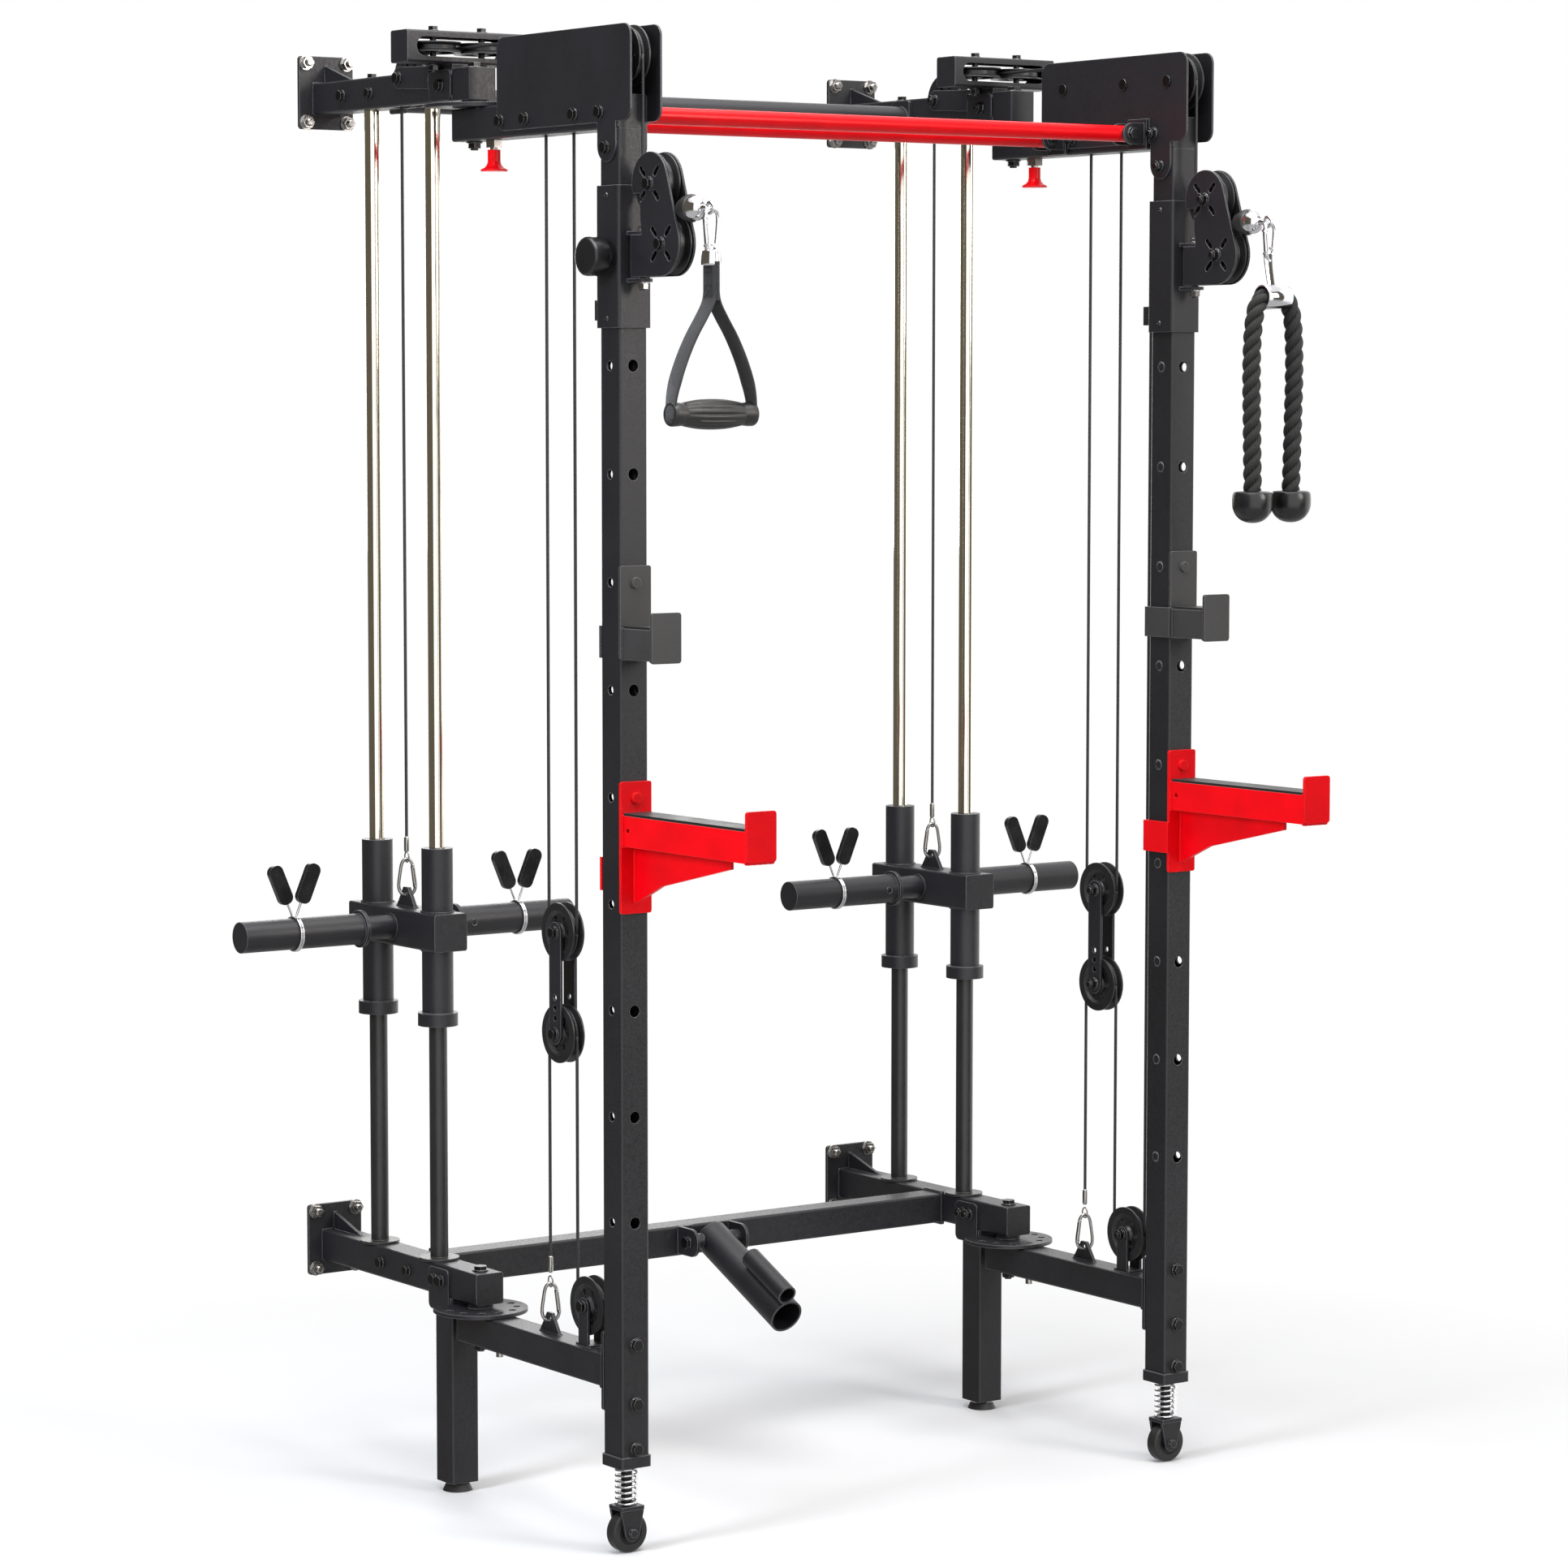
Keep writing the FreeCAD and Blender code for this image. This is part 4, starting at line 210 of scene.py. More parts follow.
def gloss_paint(name, colour):
    """Smooth gloss paint with a slight orange peel, a clear coat and a painted highlight along the edges."""
    n = Nodes(name)
    where = n.place()
    peel = n.noise(where, 210.0, 2.0, 0.5)
    cloud = n.noise(where, 14.0, 3.0, 0.5)
    normal, edge_highlight_mask = n.soft_edges(0.0014)
    base = n.mix(n.span(cloud, 0.3, 0.7), [c * 0.9 for c in colour], [min(1, c * 1.08) for c in colour])
    # Painted highlight: the edges are mixed towards a lighter red.
    edge = n.mix(n.math("MULTIPLY", edge_highlight_mask, 0.5), base, (1.0, 0.10, 0.09))
    skin = n.bump(peel, 0.0002, 0.35, normal)
    return n.finish(edge, n.span(peel, 0.3, 0.7, 0.34, 0.44), skin, Coat_Weight=0.15, Coat_Roughness=0.16,
                    Specular_IOR_Level=0.15)


def metal(name, colour, roughness, streak=0.0, edge=0.0):
    """Bare or plated metal with faint polishing marks, smudges and a painted highlight along the edges."""
    n = Nodes(name)
    smudge = n.noise(n.place(), 34.0, 4.0, 0.6)
    brush = n.noise(n.place((1, 1, 0.02)), 1400.0, 2.0, 0.5)
    normal, edge_highlight_mask = n.soft_edges(0.0006)
    tint = n.mix(n.span(smudge, 0.3, 0.75), colour, [c * 0.88 for c in colour])
    # Painted highlight: the edges are mixed towards light grey, by the share given as edge.
    tint = n.mix(n.math("MULTIPLY", edge_highlight_mask, edge), tint, (0.9, 0.9, 0.9))
    rough = n.span(smudge, 0.3, 0.75, roughness, roughness + 0.1)
    skin = n.bump(brush, 0.00008, streak, normal)
    return n.finish(tint, rough, skin, Metallic=1.0)


def moulded(name, colour, roughness=0.4):
    """Moulded plastic or rubber with a fine erosion texture and a painted highlight along the edges."""
    n = Nodes(name)
    where = n.place()
    pits = n.noise(where, 1300.0, 2.0, 0.6)
    cloud = n.noise(where, 22.0, 3.0, 0.6)
    normal, edge_highlight_mask = n.soft_edges(0.001)
    base = n.mix(n.span(cloud, 0.3, 0.7), [c * 0.8 for c in colour], [c * 1.25 for c in colour])
    # Painted highlight: the edges are mixed towards a lighter grey.
    base = n.mix(n.math("MULTIPLY", edge_highlight_mask, 0.5), base, (0.16, 0.16, 0.165))
    skin = n.bump(pits, 0.00025, 0.4, normal)
    rough = n.span(cloud, 0.3, 0.7, roughness - 0.05, roughness + 0.1)
    return n.finish(base, rough, skin)


def strand(name, colour, lays, pitch, roughness, metallic=0.0, depth=0.0006, fibre=0.0):
    """A twisted surface: U runs round the piece and V runs along it in metres."""
    n = Nodes(name)
    split = n.add("ShaderNodeSeparateXYZ")
    n.link(n.uv(), split.inputs[0])
    around = n.math("MULTIPLY", split.outputs["X"], lays)
    along = n.math("MULTIPLY", split.outputs["Y"], 1.0 / pitch)
    turn = n.math("MULTIPLY", n.math("ADD", around, along), 2 * math.pi)
    wave = n.math("ABSOLUTE", n.math("SINE", turn))
    fuzz = n.noise(n.place(), 1500.0, 3.0, 0.6)
    height = n.math("ADD", wave, n.math("MULTIPLY", fuzz, fibre))
    # Painted shade: the colour darkens into the grooves between the lays, where the height is low, and is
    # lighter on their crests.
    base = n.mix(wave, [c * 0.35 for c in colour], [c * 1.3 for c in colour])
    base = n.mix(n.span(fuzz, 0.5, 0.8, 0.0, 0.5 * min(1.0, fibre + 0.1)), base, [c * 2.6 for c in colour])
    return n.finish(base, roughness, n.bump(height, depth, 0.8), Metallic=metallic)


def woven(name, colour):
    """Nylon webbing: U runs across the strap and V along it, both in metres."""
    rib = 0.0021
    n = Nodes(name)
    split = n.add("ShaderNodeSeparateXYZ")
    n.link(n.uv(), split.inputs[0])
    across = n.math("MULTIPLY", split.outputs["X"], 2 * math.pi / rib)
    along = n.math("MULTIPLY", split.outputs["Y"], 2 * math.pi / (rib * 0.9))
    warp = n.math("ABSOLUTE", n.math("SINE", n.math("ADD", across, n.math("MULTIPLY", along, 0.5))))
    weft = n.math("ABSOLUTE", n.math("SINE", along))
    cell = n.math("MULTIPLY", warp, n.math("ADD", n.math("MULTIPLY", weft, 0.5), 0.5))
    fuzz = n.noise(n.place(), 1800.0, 3.0, 0.6)
    # Painted shade: the colour darkens between the yarns, where the weave's height is low, and is lighter on
    # the yarns.
    base = n.mix(cell, [c * 0.4 for c in colour], [c * 1.5 for c in colour])
    base = n.mix(n.span(fuzz, 0.55, 0.8, 0.0, 0.4), base, [c * 2.5 for c in colour])
    height = n.math("ADD", cell, n.math("MULTIPLY", fuzz, 0.35))
    return n.finish(base, 0.85, n.bump(height, 0.0006, 0.9), Sheen_Weight=0.35, Sheen_Roughness=0.4)


# The third colour of each powder coat is painted on its edges as a highlight.
BLACK = powder_coat("black_powder_coat", (0.0112, 0.0110, 0.0134), (0.34, 0.34, 0.35), 0.42)
BLACK_SATIN = powder_coat("black_satin_coat", (0.015, 0.0148, 0.0145), (0.2, 0.2, 0.2), 0.34, 0.7)
GREY_COAT = powder_coat("grey_powder_coat", (0.034, 0.0335, 0.034), (0.32, 0.32, 0.32), 0.46)
RED = gloss_paint("red_gloss", (0.75, 0.0006, 0.005))
# The fifth value of a metal, where given, is the share of its painted edge highlight.
CHROME = metal("chrome", (0.70, 0.70, 0.72), 0.05, 0.04, 0.0)
ROD_CHROME = metal("rod_chrome", (0.84, 0.79, 0.68), 0.05, 0.02)
STEEL = metal("bright_steel", (0.40, 0.39, 0.38), 0.22, 0.3, 0.3)
BOLT = metal("black_bolt", (0.055, 0.055, 0.058), 0.34, 0.5, 0.5)
PLASTIC = moulded("pulley_plastic", (0.010, 0.010, 0.011), 0.34)
KNOB = moulded("knob_plastic", (0.008, 0.008, 0.009), 0.22)
RUBBER = moulded("rubber", (0.012, 0.0118, 0.0115), 0.5)
GRIP = moulded("grip_rubber", (0.013, 0.0125, 0.012), 0.34)
CABLE = strand("coated_cable", (0.03, 0.03, 0.032), 3, 0.011, 0.36, 0.3, 0.0005)
ROPE = strand("rope_strand", (0.016, 0.0155, 0.015), 5, 0.020, 0.8, 0.0, 0.0009, 0.8)
WEBBING = woven("webbing", (0.014, 0.014, 0.015))
THREAD = strand("thread", (0.03, 0.03, 0.032), 2, 0.0016, 0.7, 0.0, 0.0002, 0.2)


# ------------------------------------------------------------------ finishes of the CAD nodes
def local(point, sign):
    """A point of one side as (distance from the side's centre plane, Y, Z) in the source's millimetres."""
    return (point.x * 1000 - sign * SIDE_X), point.y * 1000 + SHIFT_Y, point.z * 1000


def paint(name, materials, pick=None, sign=0):
    """Give a CAD node its materials; pick returns the index for a face's centre."""
    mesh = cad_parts[name].data
    mesh.materials.clear()
    for material in materials:
        mesh.materials.append(material)
    for face in mesh.polygons:
        face.material_index = pick(*local(face.center, sign)) if pick else 0


def hub_pick(y0, z0):
    """Index 1 inside a wheel's hub, 0 outside."""
    return lambda dx, y, z: 1 if math.hypot(y - y0, z - z0) < HUB_R else 0


def carriage_pick(dx, y, z):
    """0 frame, 1 clip wire, 2 clip grip."""
    from_clip = abs(abs(dx) - CLIP_X)
    if abs(y - ROD_Y) > 32 or from_clip > 60:
        return 0
    if z > PEG_Z + 45:
        return 2
    round_peg = math.hypot(y - ROD_Y, z - PEG_Z) > 25.0 and from_clip < 9
    return 1 if round_peg or z > PEG_Z + 28 else 0


def fastener_pick(x, y, z):
    """Bright steel for the wall anchors, black bolts elsewhere."""
    return 1 if y > 855 else 0


def arm_pick(dx, y, z):
    """1 for the pulleys inside the top arm, 2 for their hubs."""
    off = min(math.hypot(y - centre, z - TOP_Z) for centre in (BACK_Y, MID_Y))
    if abs(dx) < 10.6 and off < 46:
        return 2 if off < HUB_R else 1
    return 0


def head_pick(dx, y, z):
    """1 for the bolts and axles of the swivel head, 2 for its swivel's ends."""
    if abs(dx) > 15.3:
        return 1
    if math.hypot(dx, y - SWIVEL_Y) < 10.5 and (z > 1977 or z < 1914):
        return 2
    from_axle = min(math.hypot(y - HEAD_Y, z - HEAD_Z), math.hypot(y - HEAD_LOW_Y, z - HEAD_LOW_Z))
    return 1 if abs(dx) < 11.9 and from_axle < 6 else 0


def strap_pick(dx, y, z):
    """Axles of the double-pulley block, proud of its straps and between them."""
    from_axle = min(math.hypot(y - BLOCK_Y, z - centre) for centre in (BLOCK_HIGH, BLOCK_LOW))
    return 1 if from_axle < 10.2 and (abs(dx) > 15.1 or abs(dx) < 10.9) else 0


def liner_pick(arm_z, nose_y):
    """The rubber liner on top of a hook's arm."""
    return lambda dx, y, z: 1 if nose_y < y < -30.9 and 22.9 < z - arm_z < 27.3 and abs(dx) < 23.5 else 0


def wheel_pick(dx, y, z):
    """Tyre outside, hub inside."""
    return 1 if math.hypot(dx, z - CASTER_Z) < 20.5 else 0


def pin_pick(dx, y, z):
    """Red flared knobs on the top pins, steel elsewhere."""
    return 1 if z > 2000 and (math.hypot(dx, y - FOLD_PIN_Y) > 6.3 or z < 2095) else 0


def hardware_pick(side):
    """Black bolts, the red bar ends on the right side and the plated collar of the fold pin."""
    def pick(dx, y, z):
        near_bar = min(abs(y - bar_y) for bar_y in BAR_YS) < 13.2 and abs(z - BAR_Z) < 13.2
        if side == "right" and near_bar and abs(dx + 62) < 16.5:
            return 1
        return 2 if math.hypot(dx, y - FOLD_PIN_Y) < 15 and z > 2100 else 0
    return pick


def dress_cad():
    """Finishes of the CAD's own nodes."""
    for name in ("top_wall_arms", "base_wall_arms", "rear_legs", "base_crossmember", "rear_crossbar",
                 "pulley_boxes", "landmine_tubes"):
        paint(name, [BLACK])
    paint("guide_rods", [ROD_CHROME])
    paint("rod_stand_tubes", [BLACK_SATIN])
    paint("levelling_feet", [RUBBER, STEEL], lambda x, y, z: 1 if z > 10.5 else 0)
    paint("box_wheels", [PLASTIC])
    paint("frame_fasteners", [BOLT, STEEL], fastener_pick)
    paint("front_pull_up_bar", [RED])
    paint("rear_pull_up_bar", [RED])
    for side, sign in SIDES:
        paint(f"{side}_upright", [BLACK])
        paint(f"{side}_top_arm", [BLACK, PLASTIC, STEEL], arm_pick, sign)
        paint(f"{side}_lower_arm", [BLACK])
        paint(f"{side}_arm_fasteners", [BOLT, RED, STEEL], hardware_pick(side), sign)
        paint(f"{side}_trolley_sleeve", [BLACK])
        paint(f"{side}_trolley_head", [BLACK, BOLT, STEEL], head_pick, sign)
        paint(f"{side}_block_frame", [BLACK, BOLT], strap_pick, sign)
        paint(f"{side}_carriage", [BLACK, CHROME, KNOB], carriage_pick, sign)
        paint(f"{side}_j_hook", [GREY_COAT, RUBBER], liner_pick(HOOK_Z, -105.5), sign)
        paint(f"{side}_spotter_arm", [RED, RUBBER], liner_pick(SPOTTER_Z, -347.2), sign)
        paint(f"{side}_caster_fork", [BLACK])
        paint(f"{side}_caster_wheel", [RUBBER, PLASTIC], wheel_pick, sign)
        paint(f"{side}_lock_pins", [STEEL, RED], pin_pick, sign)
        paint(f"{side}_trolley_pin", [KNOB])
        for wheel, y, z in (("rear_pulley", REAR_Y, TOP_Z), ("front_pulley", FRONT_Y, TOP_Z),
                            ("base_pulley", BASE_Y, BASE_Z), ("head_upper_pulley", HEAD_Y, HEAD_Z),
                            ("head_lower_pulley", HEAD_LOW_Y, HEAD_LOW_Z),
                            ("block_upper_pulley", BLOCK_Y, BLOCK_HIGH),
                            ("block_lower_pulley", BLOCK_Y, BLOCK_LOW)):
            paint(f"{side}_{wheel}", [PLASTIC, STEEL], hub_pick(y, z), sign)


# ------------------------------------------------------------------ mesh tools
def new_piece(name, mesh_data, material, smooth=True):
    mesh = bpy.data.meshes.new(name)
    mesh_data.to_mesh(mesh)
    mesh_data.free()
    mesh.materials.append(material)
    for face in mesh.polygons:
        face.use_smooth = smooth
    piece = bpy.data.objects.new(name, mesh)
    bpy.context.scene.collection.objects.link(piece)
    return piece


def fit(piece, body, slot):
    """Fix a piece to a body; its slot argument is not used."""
    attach(piece, body)


def resample(points, step):
    """Points along a polyline at nearly even steps."""
    out = [points[0].copy()]
    for a, b in zip(points, points[1:]):
        count = max(1, round((b - a).length / step))
        out += [a.lerp(b, (i + 1) / count) for i in range(count)]
    return out


def curve_through(points, per_span=8, closed=False):
    """A smooth path through a few points."""
    count = len(points)
    spans = count if closed else count - 1
    out = []
    for i in range(spans):
        if closed:
            p = [points[(i + k - 1) % count] for k in range(4)]
        else:
            p = [points[max(0, min(count - 1, i + k - 1))] for k in range(4)]
        for step in range(per_span):
            t = step / per_span
            out.append(0.5 * ((2 * p[1]) + (p[2] - p[0]) * t + (2 * p[0] - 5 * p[1] + 4 * p[2] - p[3]) * t * t
                              + (3 * p[1] - p[0] - 3 * p[2] + p[3]) * t ** 3))
    if not closed:
        out.append(points[-1].copy())
    return out


def turns(count):
    """Even angles round a full turn."""
    return [2 * math.pi * i / count for i in range(count)]


def ellipse(x, y, z, axes, a, b, count=36):
    """A closed path about a point of the source: a along the first named axis, b along the second."""
    path = []
    for t in turns(count):
        spot = {"x": x, "y": y, "z": z}
        spot[axes[0]] += a * math.cos(t)
        spot[axes[1]] += b * math.sin(t)
        path.append(at(**spot))
    return path


def flatten(direction, axis):
    """The part of a direction that is square to an axis."""
    return (direction - axis * direction.dot(axis)).normalized()


def first_side(axis, guess=EX):
    """A direction square to an axis, from a guess, or from Y where the guess is close to the axis."""
    return flatten(guess if abs(guess.dot(axis)) < 0.9 else EY, axis)


def frames_along(path, closed=False, up=None, side=None):
    """Two directions square to a path at each of its points, carried along untwisted or kept square to up."""
    last = len(path) - 1
    frames = []
    for i in range(len(path)):
        ahead = path[(i + 1) % len(path)] if closed else path[min(i + 1, last)]
        behind = path[i - 1] if closed else path[max(i - 1, 0)]
        along = (ahead - behind).normalized()
        if up is not None:
            side = up.cross(along).normalized()
        elif side is None:
            side = first_side(along)
        else:
            side = flatten(side, along)
        frames.append((side, along.cross(side)))
    return frames


def distances(path):
    """How far along a path each of its points is."""
    out = [0.0]
    for a, b in zip(path, path[1:]):
        out.append(out[-1] + (b - a).length)
    return out


def sweep(mesh, path, section, closed=False, up=None, scale=None):
    """Carry a closed section of (a, b) offsets along a path; writes UVs in metres along and 0-1 around."""
    uv = mesh.loops.layers.uv.verify()
    count, size = len(path), len(section)
    rings = []
    for i, (point, (a, b)) in enumerate(zip(path, frames_along(path, closed, up))):
        grow = scale[i] if scale else 1.0
        rings.append([mesh.verts.new(point + (a * u + b * v) * grow) for u, v in section])
    travelled = distances(path)
    around = [0.0]
    for (u0, v0), (u1, v1) in zip(section, section[1:] + section[:1]):
        around.append(around[-1] + math.hypot(u1 - u0, v1 - v0))
    for i in range(count if closed else count - 1):
        j = (i + 1) % count
        v0 = travelled[i]
        v1 = travelled[j] if j else travelled[-1] + (path[0] - path[-1]).length
        for k in range(size):
            m = (k + 1) % size
            face = mesh.faces.new((rings[i][k], rings[i][m], rings[j][m], rings[j][k]))
            u0, u1 = around[k] / around[-1], around[k + 1] / around[-1]
            for loop, spot in zip(face.loops, ((u0, v0), (u1, v0), (u1, v1), (u0, v1))):
                loop[uv].uv = spot
    if not closed:
        mesh.faces.new(list(reversed(rings[0])))
        mesh.faces.new(rings[-1])


def circle(radius, count=12):
    return [(radius * math.cos(t), radius * math.sin(t)) for t in turns(count)]


def strap_section(width, thick, count=4):
    """A flat strap with round edges; the first axis is its thickness."""
    points = []
    r = thick / 2
    for end in (1, -1):
        for i in range(count + 1):
            angle = -math.pi / 2 + math.pi * i / count
            points.append((end * r * -math.sin(angle), end * (width / 2 - r + r * math.cos(angle))))
    return points


def tube(name, path, radius, material, closed=False, sides=12):
    mesh = bmesh.new()
    sweep(mesh, path, circle(radius, sides), closed)
    return new_piece(name, mesh, material)


def lathe_into(mesh, profile, origin, axis, segments, hollow=False, ribs=0, depth=0.0):
    """Turn a profile of (radius, height) about an axis. A hollow one is a closed loop round a wall, and its
    points may carry a third value: the share of the ribs' depth."""
    axis = axis.normalized()
    a = first_side(axis, EZ if hollow else EX)
    b = axis.cross(a)
    rings = []
    for radius, height, *share in profile:
        ring = []
        for angle in turns(segments):
            r = radius + (depth * share[0] * abs(math.cos(ribs * angle / 2)) if ribs else 0.0)
            out = a * math.cos(angle) + b * math.sin(angle)
            ring.append(mesh.verts.new(origin + axis * height + out * r))
        rings.append(ring)
    for low, high in zip(rings, rings[1:] + (rings[:1] if hollow else [])):
        for i in range(segments):
            j = (i + 1) % segments
            mesh.faces.new((low[i], low[j], high[j], high[i]))
    if not hollow:
        mesh.faces.new(list(reversed(rings[0])))
        mesh.faces.new(rings[-1])
    bmesh.ops.recalc_face_normals(mesh, faces=mesh.faces[:])


def lathe(name, profile, origin, axis, material, segments=48):
    """A turned piece from a profile in millimetres."""
    mesh = bmesh.new()
    lathe_into(mesh, [(radius / 1000, height / 1000) for radius, height in profile], origin, axis, segments)
    piece = new_piece(name, mesh, material)
    crease_by_angle(piece)
    return piece


def crease_by_angle(piece, degrees=35):
    """Keep corners sharper than the angle crisp in smooth shading."""
    mesh = bmesh.new()
    mesh.from_mesh(piece.data)
    for edge in mesh.edges:
        edge.smooth = len(edge.link_faces) == 2 and edge.calc_face_angle(0) < math.radians(degrees)
    mesh.to_mesh(piece.data)
    mesh.free()


def join(name, pieces):
    """Merge pieces into one, keeping their materials."""
    first = pieces[0]
    with bpy.context.temp_override(active_object=first, object=first, selected_objects=pieces,
                                   selected_editable_objects=pieces):
        bpy.ops.object.join()
    first.name = name
    first.data.name = name
    return first


# ------------------------------------------------------------------ cables
def arc_points(x, centre, start, end, count=40):
    """Points on a pulley's cable circle, angles in degrees from +Y towards +Z."""
    out = []
    for i in range(count + 1):
        angle = math.radians(start + (end - start) * i / count)
        out.append(at(x, centre[0] + WRAP_R * math.cos(angle), centre[1] + WRAP_R * math.sin(angle)))
    return out


def straight(a, b, step=0.012):
    return resample([a, b], step)


def run(x, start, end, step=0.012):
    """A straight run of cable between two (Y, Z) places in one side's plane."""
    return straight(at(x, *start), at(x, *end), step)


def cable_piece(name, path, bodies, ends=None):
    """A length of cable that rides on one body, or that is baked in place where it runs between two."""
    piece = tube(name, path, CABLE_R / 1000, CABLE, sides=14)
    if isinstance(bodies, tuple):
        start, end = ends or (path[0], path[-1])
        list(bodies)
        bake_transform(piece)
        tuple(start)
        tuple(end)
    else:
        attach(piece, bodies)
    return piece


def build_cables():
    """The cables of both sides in runs between their bodies, and the sleeves pressed on their ends."""
    sleeve = [(2.4, -13), (3.6, -12), (4.2, -9), (4.2, 9), (3.6, 12), (2.4, 13)]
    rear_line, top_line = REAR_Y + WRAP_R, TOP_Z + WRAP_R
    block_rear, block_front = BLOCK_Y + WRAP_R, BLOCK_Y - WRAP_R
    nose_line, trolley_line = HEAD_Z - WRAP_R, BASE_Y - WRAP_R
    fold_start = 505
    first = None
    for side, sign in SIDES:
        x = sign * SIDE_X
        root, arm, trolley, head = "wall_frame", f"{side}_arm", f"{side}_trolley", f"{side}_head"
        block, handle, carriage = f"{side}_block", f"{side}_cable_handle", f"{side}_weight_carriage"
        top_front = (arc_points(x, (MID_Y, TOP_Z), 0, 90) + run(x, (MID_Y, top_line), (FRONT_Y, top_line))[1:]
                     + arc_points(x, (FRONT_Y, TOP_Z), 90, 180)[1:])
        runs = [
            ("carriage", run(x, (rear_line, 1015), (rear_line, TOP_Z)), (carriage, root)),
            ("rear_wrap", arc_points(x, (REAR_Y, TOP_Z), 0, 90)
             + run(x, (REAR_Y, top_line), (fold_start, top_line))[1:], root),
            ("block_rear", run(x, (BACK_Y - WRAP_R, TOP_Z), (block_rear, BLOCK_HIGH)), (arm, block)),
            ("block_wrap", arc_points(x, (BLOCK_Y, BLOCK_HIGH), 0, -180), block),
            ("block_front", run(x, (block_front, BLOCK_HIGH), (MID_Y + WRAP_R, TOP_Z)), (block, arm)),
            ("top_front", top_front, arm),
            ("drop", run(x, (FRONT_Y - WRAP_R, TOP_Z), (HEAD_Y + WRAP_R, HEAD_Z)), (arm, trolley)),
            ("head_wrap", arc_points(x, (HEAD_Y, HEAD_Z), 0, -90), head),
            ("nose", run(x, (HEAD_Y, nose_line), (-153, nose_line), 0.006), (head, handle)),
            ("low_rear", run(x, (block_rear, 398), (block_rear, BLOCK_LOW)), (arm, block)),
            ("low_block_wrap", arc_points(x, (BLOCK_Y, BLOCK_LOW), 0, 180), block),
            ("low_front", run(x, (block_front, BLOCK_LOW), (BASE_Y + WRAP_R, BASE_Z)), (block, arm)),
            ("base_wrap", arc_points(x, (BASE_Y, BASE_Z), 0, -180), arm),
            ("trolley_run", run(x, (trolley_line, BASE_Z), (trolley_line, 1882)), (arm, trolley)),
        ]
        for label, path, bodies in runs:
            piece = cable_piece(f"{side}_cable_{label}", path, bodies)
            first = first or piece
        over_fold = run(x, (fold_start, top_line), (BACK_Y, top_line), 0.004)
        bend = at(x, 452, top_line), at(x, 380, top_line)
        cable_piece(f"{side}_cable_fold", over_fold, (root, arm), bend)
        cable_piece(f"{side}_cable_over_arm", arc_points(x, (BACK_Y, TOP_Z), 90, 180), arm)
        for label, y, z, body in (("carriage", rear_line, 1024, carriage), ("tab", block_rear, 407, arm)):
            fit(lathe(f"{side}_{label}_swage", sleeve, at(x, y, z), EZ, STEEL, 24), body, "zinc")
    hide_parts("cables")


# ------------------------------------------------------------------ hooks, springs and handles
HOOK_FACE = Vector((0.30, -0.954, 0))  # the way the hooks at the cables' front ends face


def snap_hook(name, top, length, width, wire, normal, material=CHROME, flip=1, down=-EZ):
    """A carabiner hanging from a point: a pear-shaped wire loop with a riveted gate and nose."""
    side = down.cross(normal).normalized() * flip
    half = [(0.28, 0.03), (0.46, 0.14), (0.5, 0.3), (0.42, 0.6), (0.32, 0.86), (0.16, 0.98)]
    shape = [(0.0, 0.0)] + half + [(0.0, 1.0)] + [(-u, v) for u, v in reversed(half)]
    points = [top + side * (u * width) + down * (v * length) for u, v in shape]
    loop = tube(name + "_loop", curve_through(points, 6, closed=True), wire, material, closed=True)
    hinge = top + side * (0.335 * width) + down * (0.82 * length)
    latch = top + side * (0.49 * width) + down * (0.22 * length)
    gate = tube(name + "_gate", straight(hinge, latch, 0.004), wire * 1.22, material, sides=14)
    rivets = []
    for i, spot in enumerate((hinge, latch)):
        mesh = bmesh.new()
        reach = wire * 1.75
        lathe_into(mesh, [(wire * 0.35, -reach), (wire * 0.62, -reach * 0.9), (wire * 0.62, reach * 0.9),
                          (wire * 0.35, reach)], spot, normal, 16)
        rivets.append(new_piece(f"{name}_rivet_{i}", mesh, material))
    return [loop, gate] + rivets


def thimble(name, centre, radius, wire, normal):
    """An oval wire eye."""
    a = first_side(normal, EZ)
    b = normal.cross(a)
    path = [centre + (a * math.cos(t) * 1.35 + b * math.sin(t)) * radius for t in turns(32)]
    return tube(name, path, wire, STEEL, closed=True, sides=10)


def cable_hardware():
    """Snap hooks and eyes where the cables meet the carriages and the lower arms."""
    across = Vector((0.35, 0.94, 0)).normalized()
    for side, sign in SIDES:
        x = sign * SIDE_X
        for label, y, tab_z, body in (("carriage", ROD_Y, 946.5, f"{side}_weight_carriage"),
                                      ("tab", BLOCK_Y + WRAP_R, 323.0, f"{side}_arm")):
            parts = snap_hook(f"{side}_{label}_hook", at(x, y, tab_z - 4), 0.058, 0.027, 0.0028,
                              across, STEEL, sign, EZ)
            parts.append(thimble(f"{side}_{label}_eye", at(x, y, tab_z + 57.5), 0.0062, 0.0013, EX))
            fit(join(f"{side}_{label}_snap_hook", parts), body, "zinc")


def build_springs():
    """The casters' compression springs, with flat end coils."""
    low, high, coils, radius, flat, steps = 74.4, 130.8, 7.5, 16.0, 0.07, 480
    first = None
    for side, sign in SIDES:
        x = sign * SIDE_X
        path = []
        for i in range(steps + 1):
            t = i / steps
            rise = min(1.0, max(0.0, (t - flat) / (1 - 2 * flat)))
            angle = 2 * math.pi * coils * t
            path.append(at(x + radius * math.cos(angle), radius * math.sin(angle), low + (high - low) * rise))
        spring = tube(f"{side}_caster_spring", path, 0.0020, CHROME)
        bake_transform(spring)
        first = first or spring
    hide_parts("caster_springs")


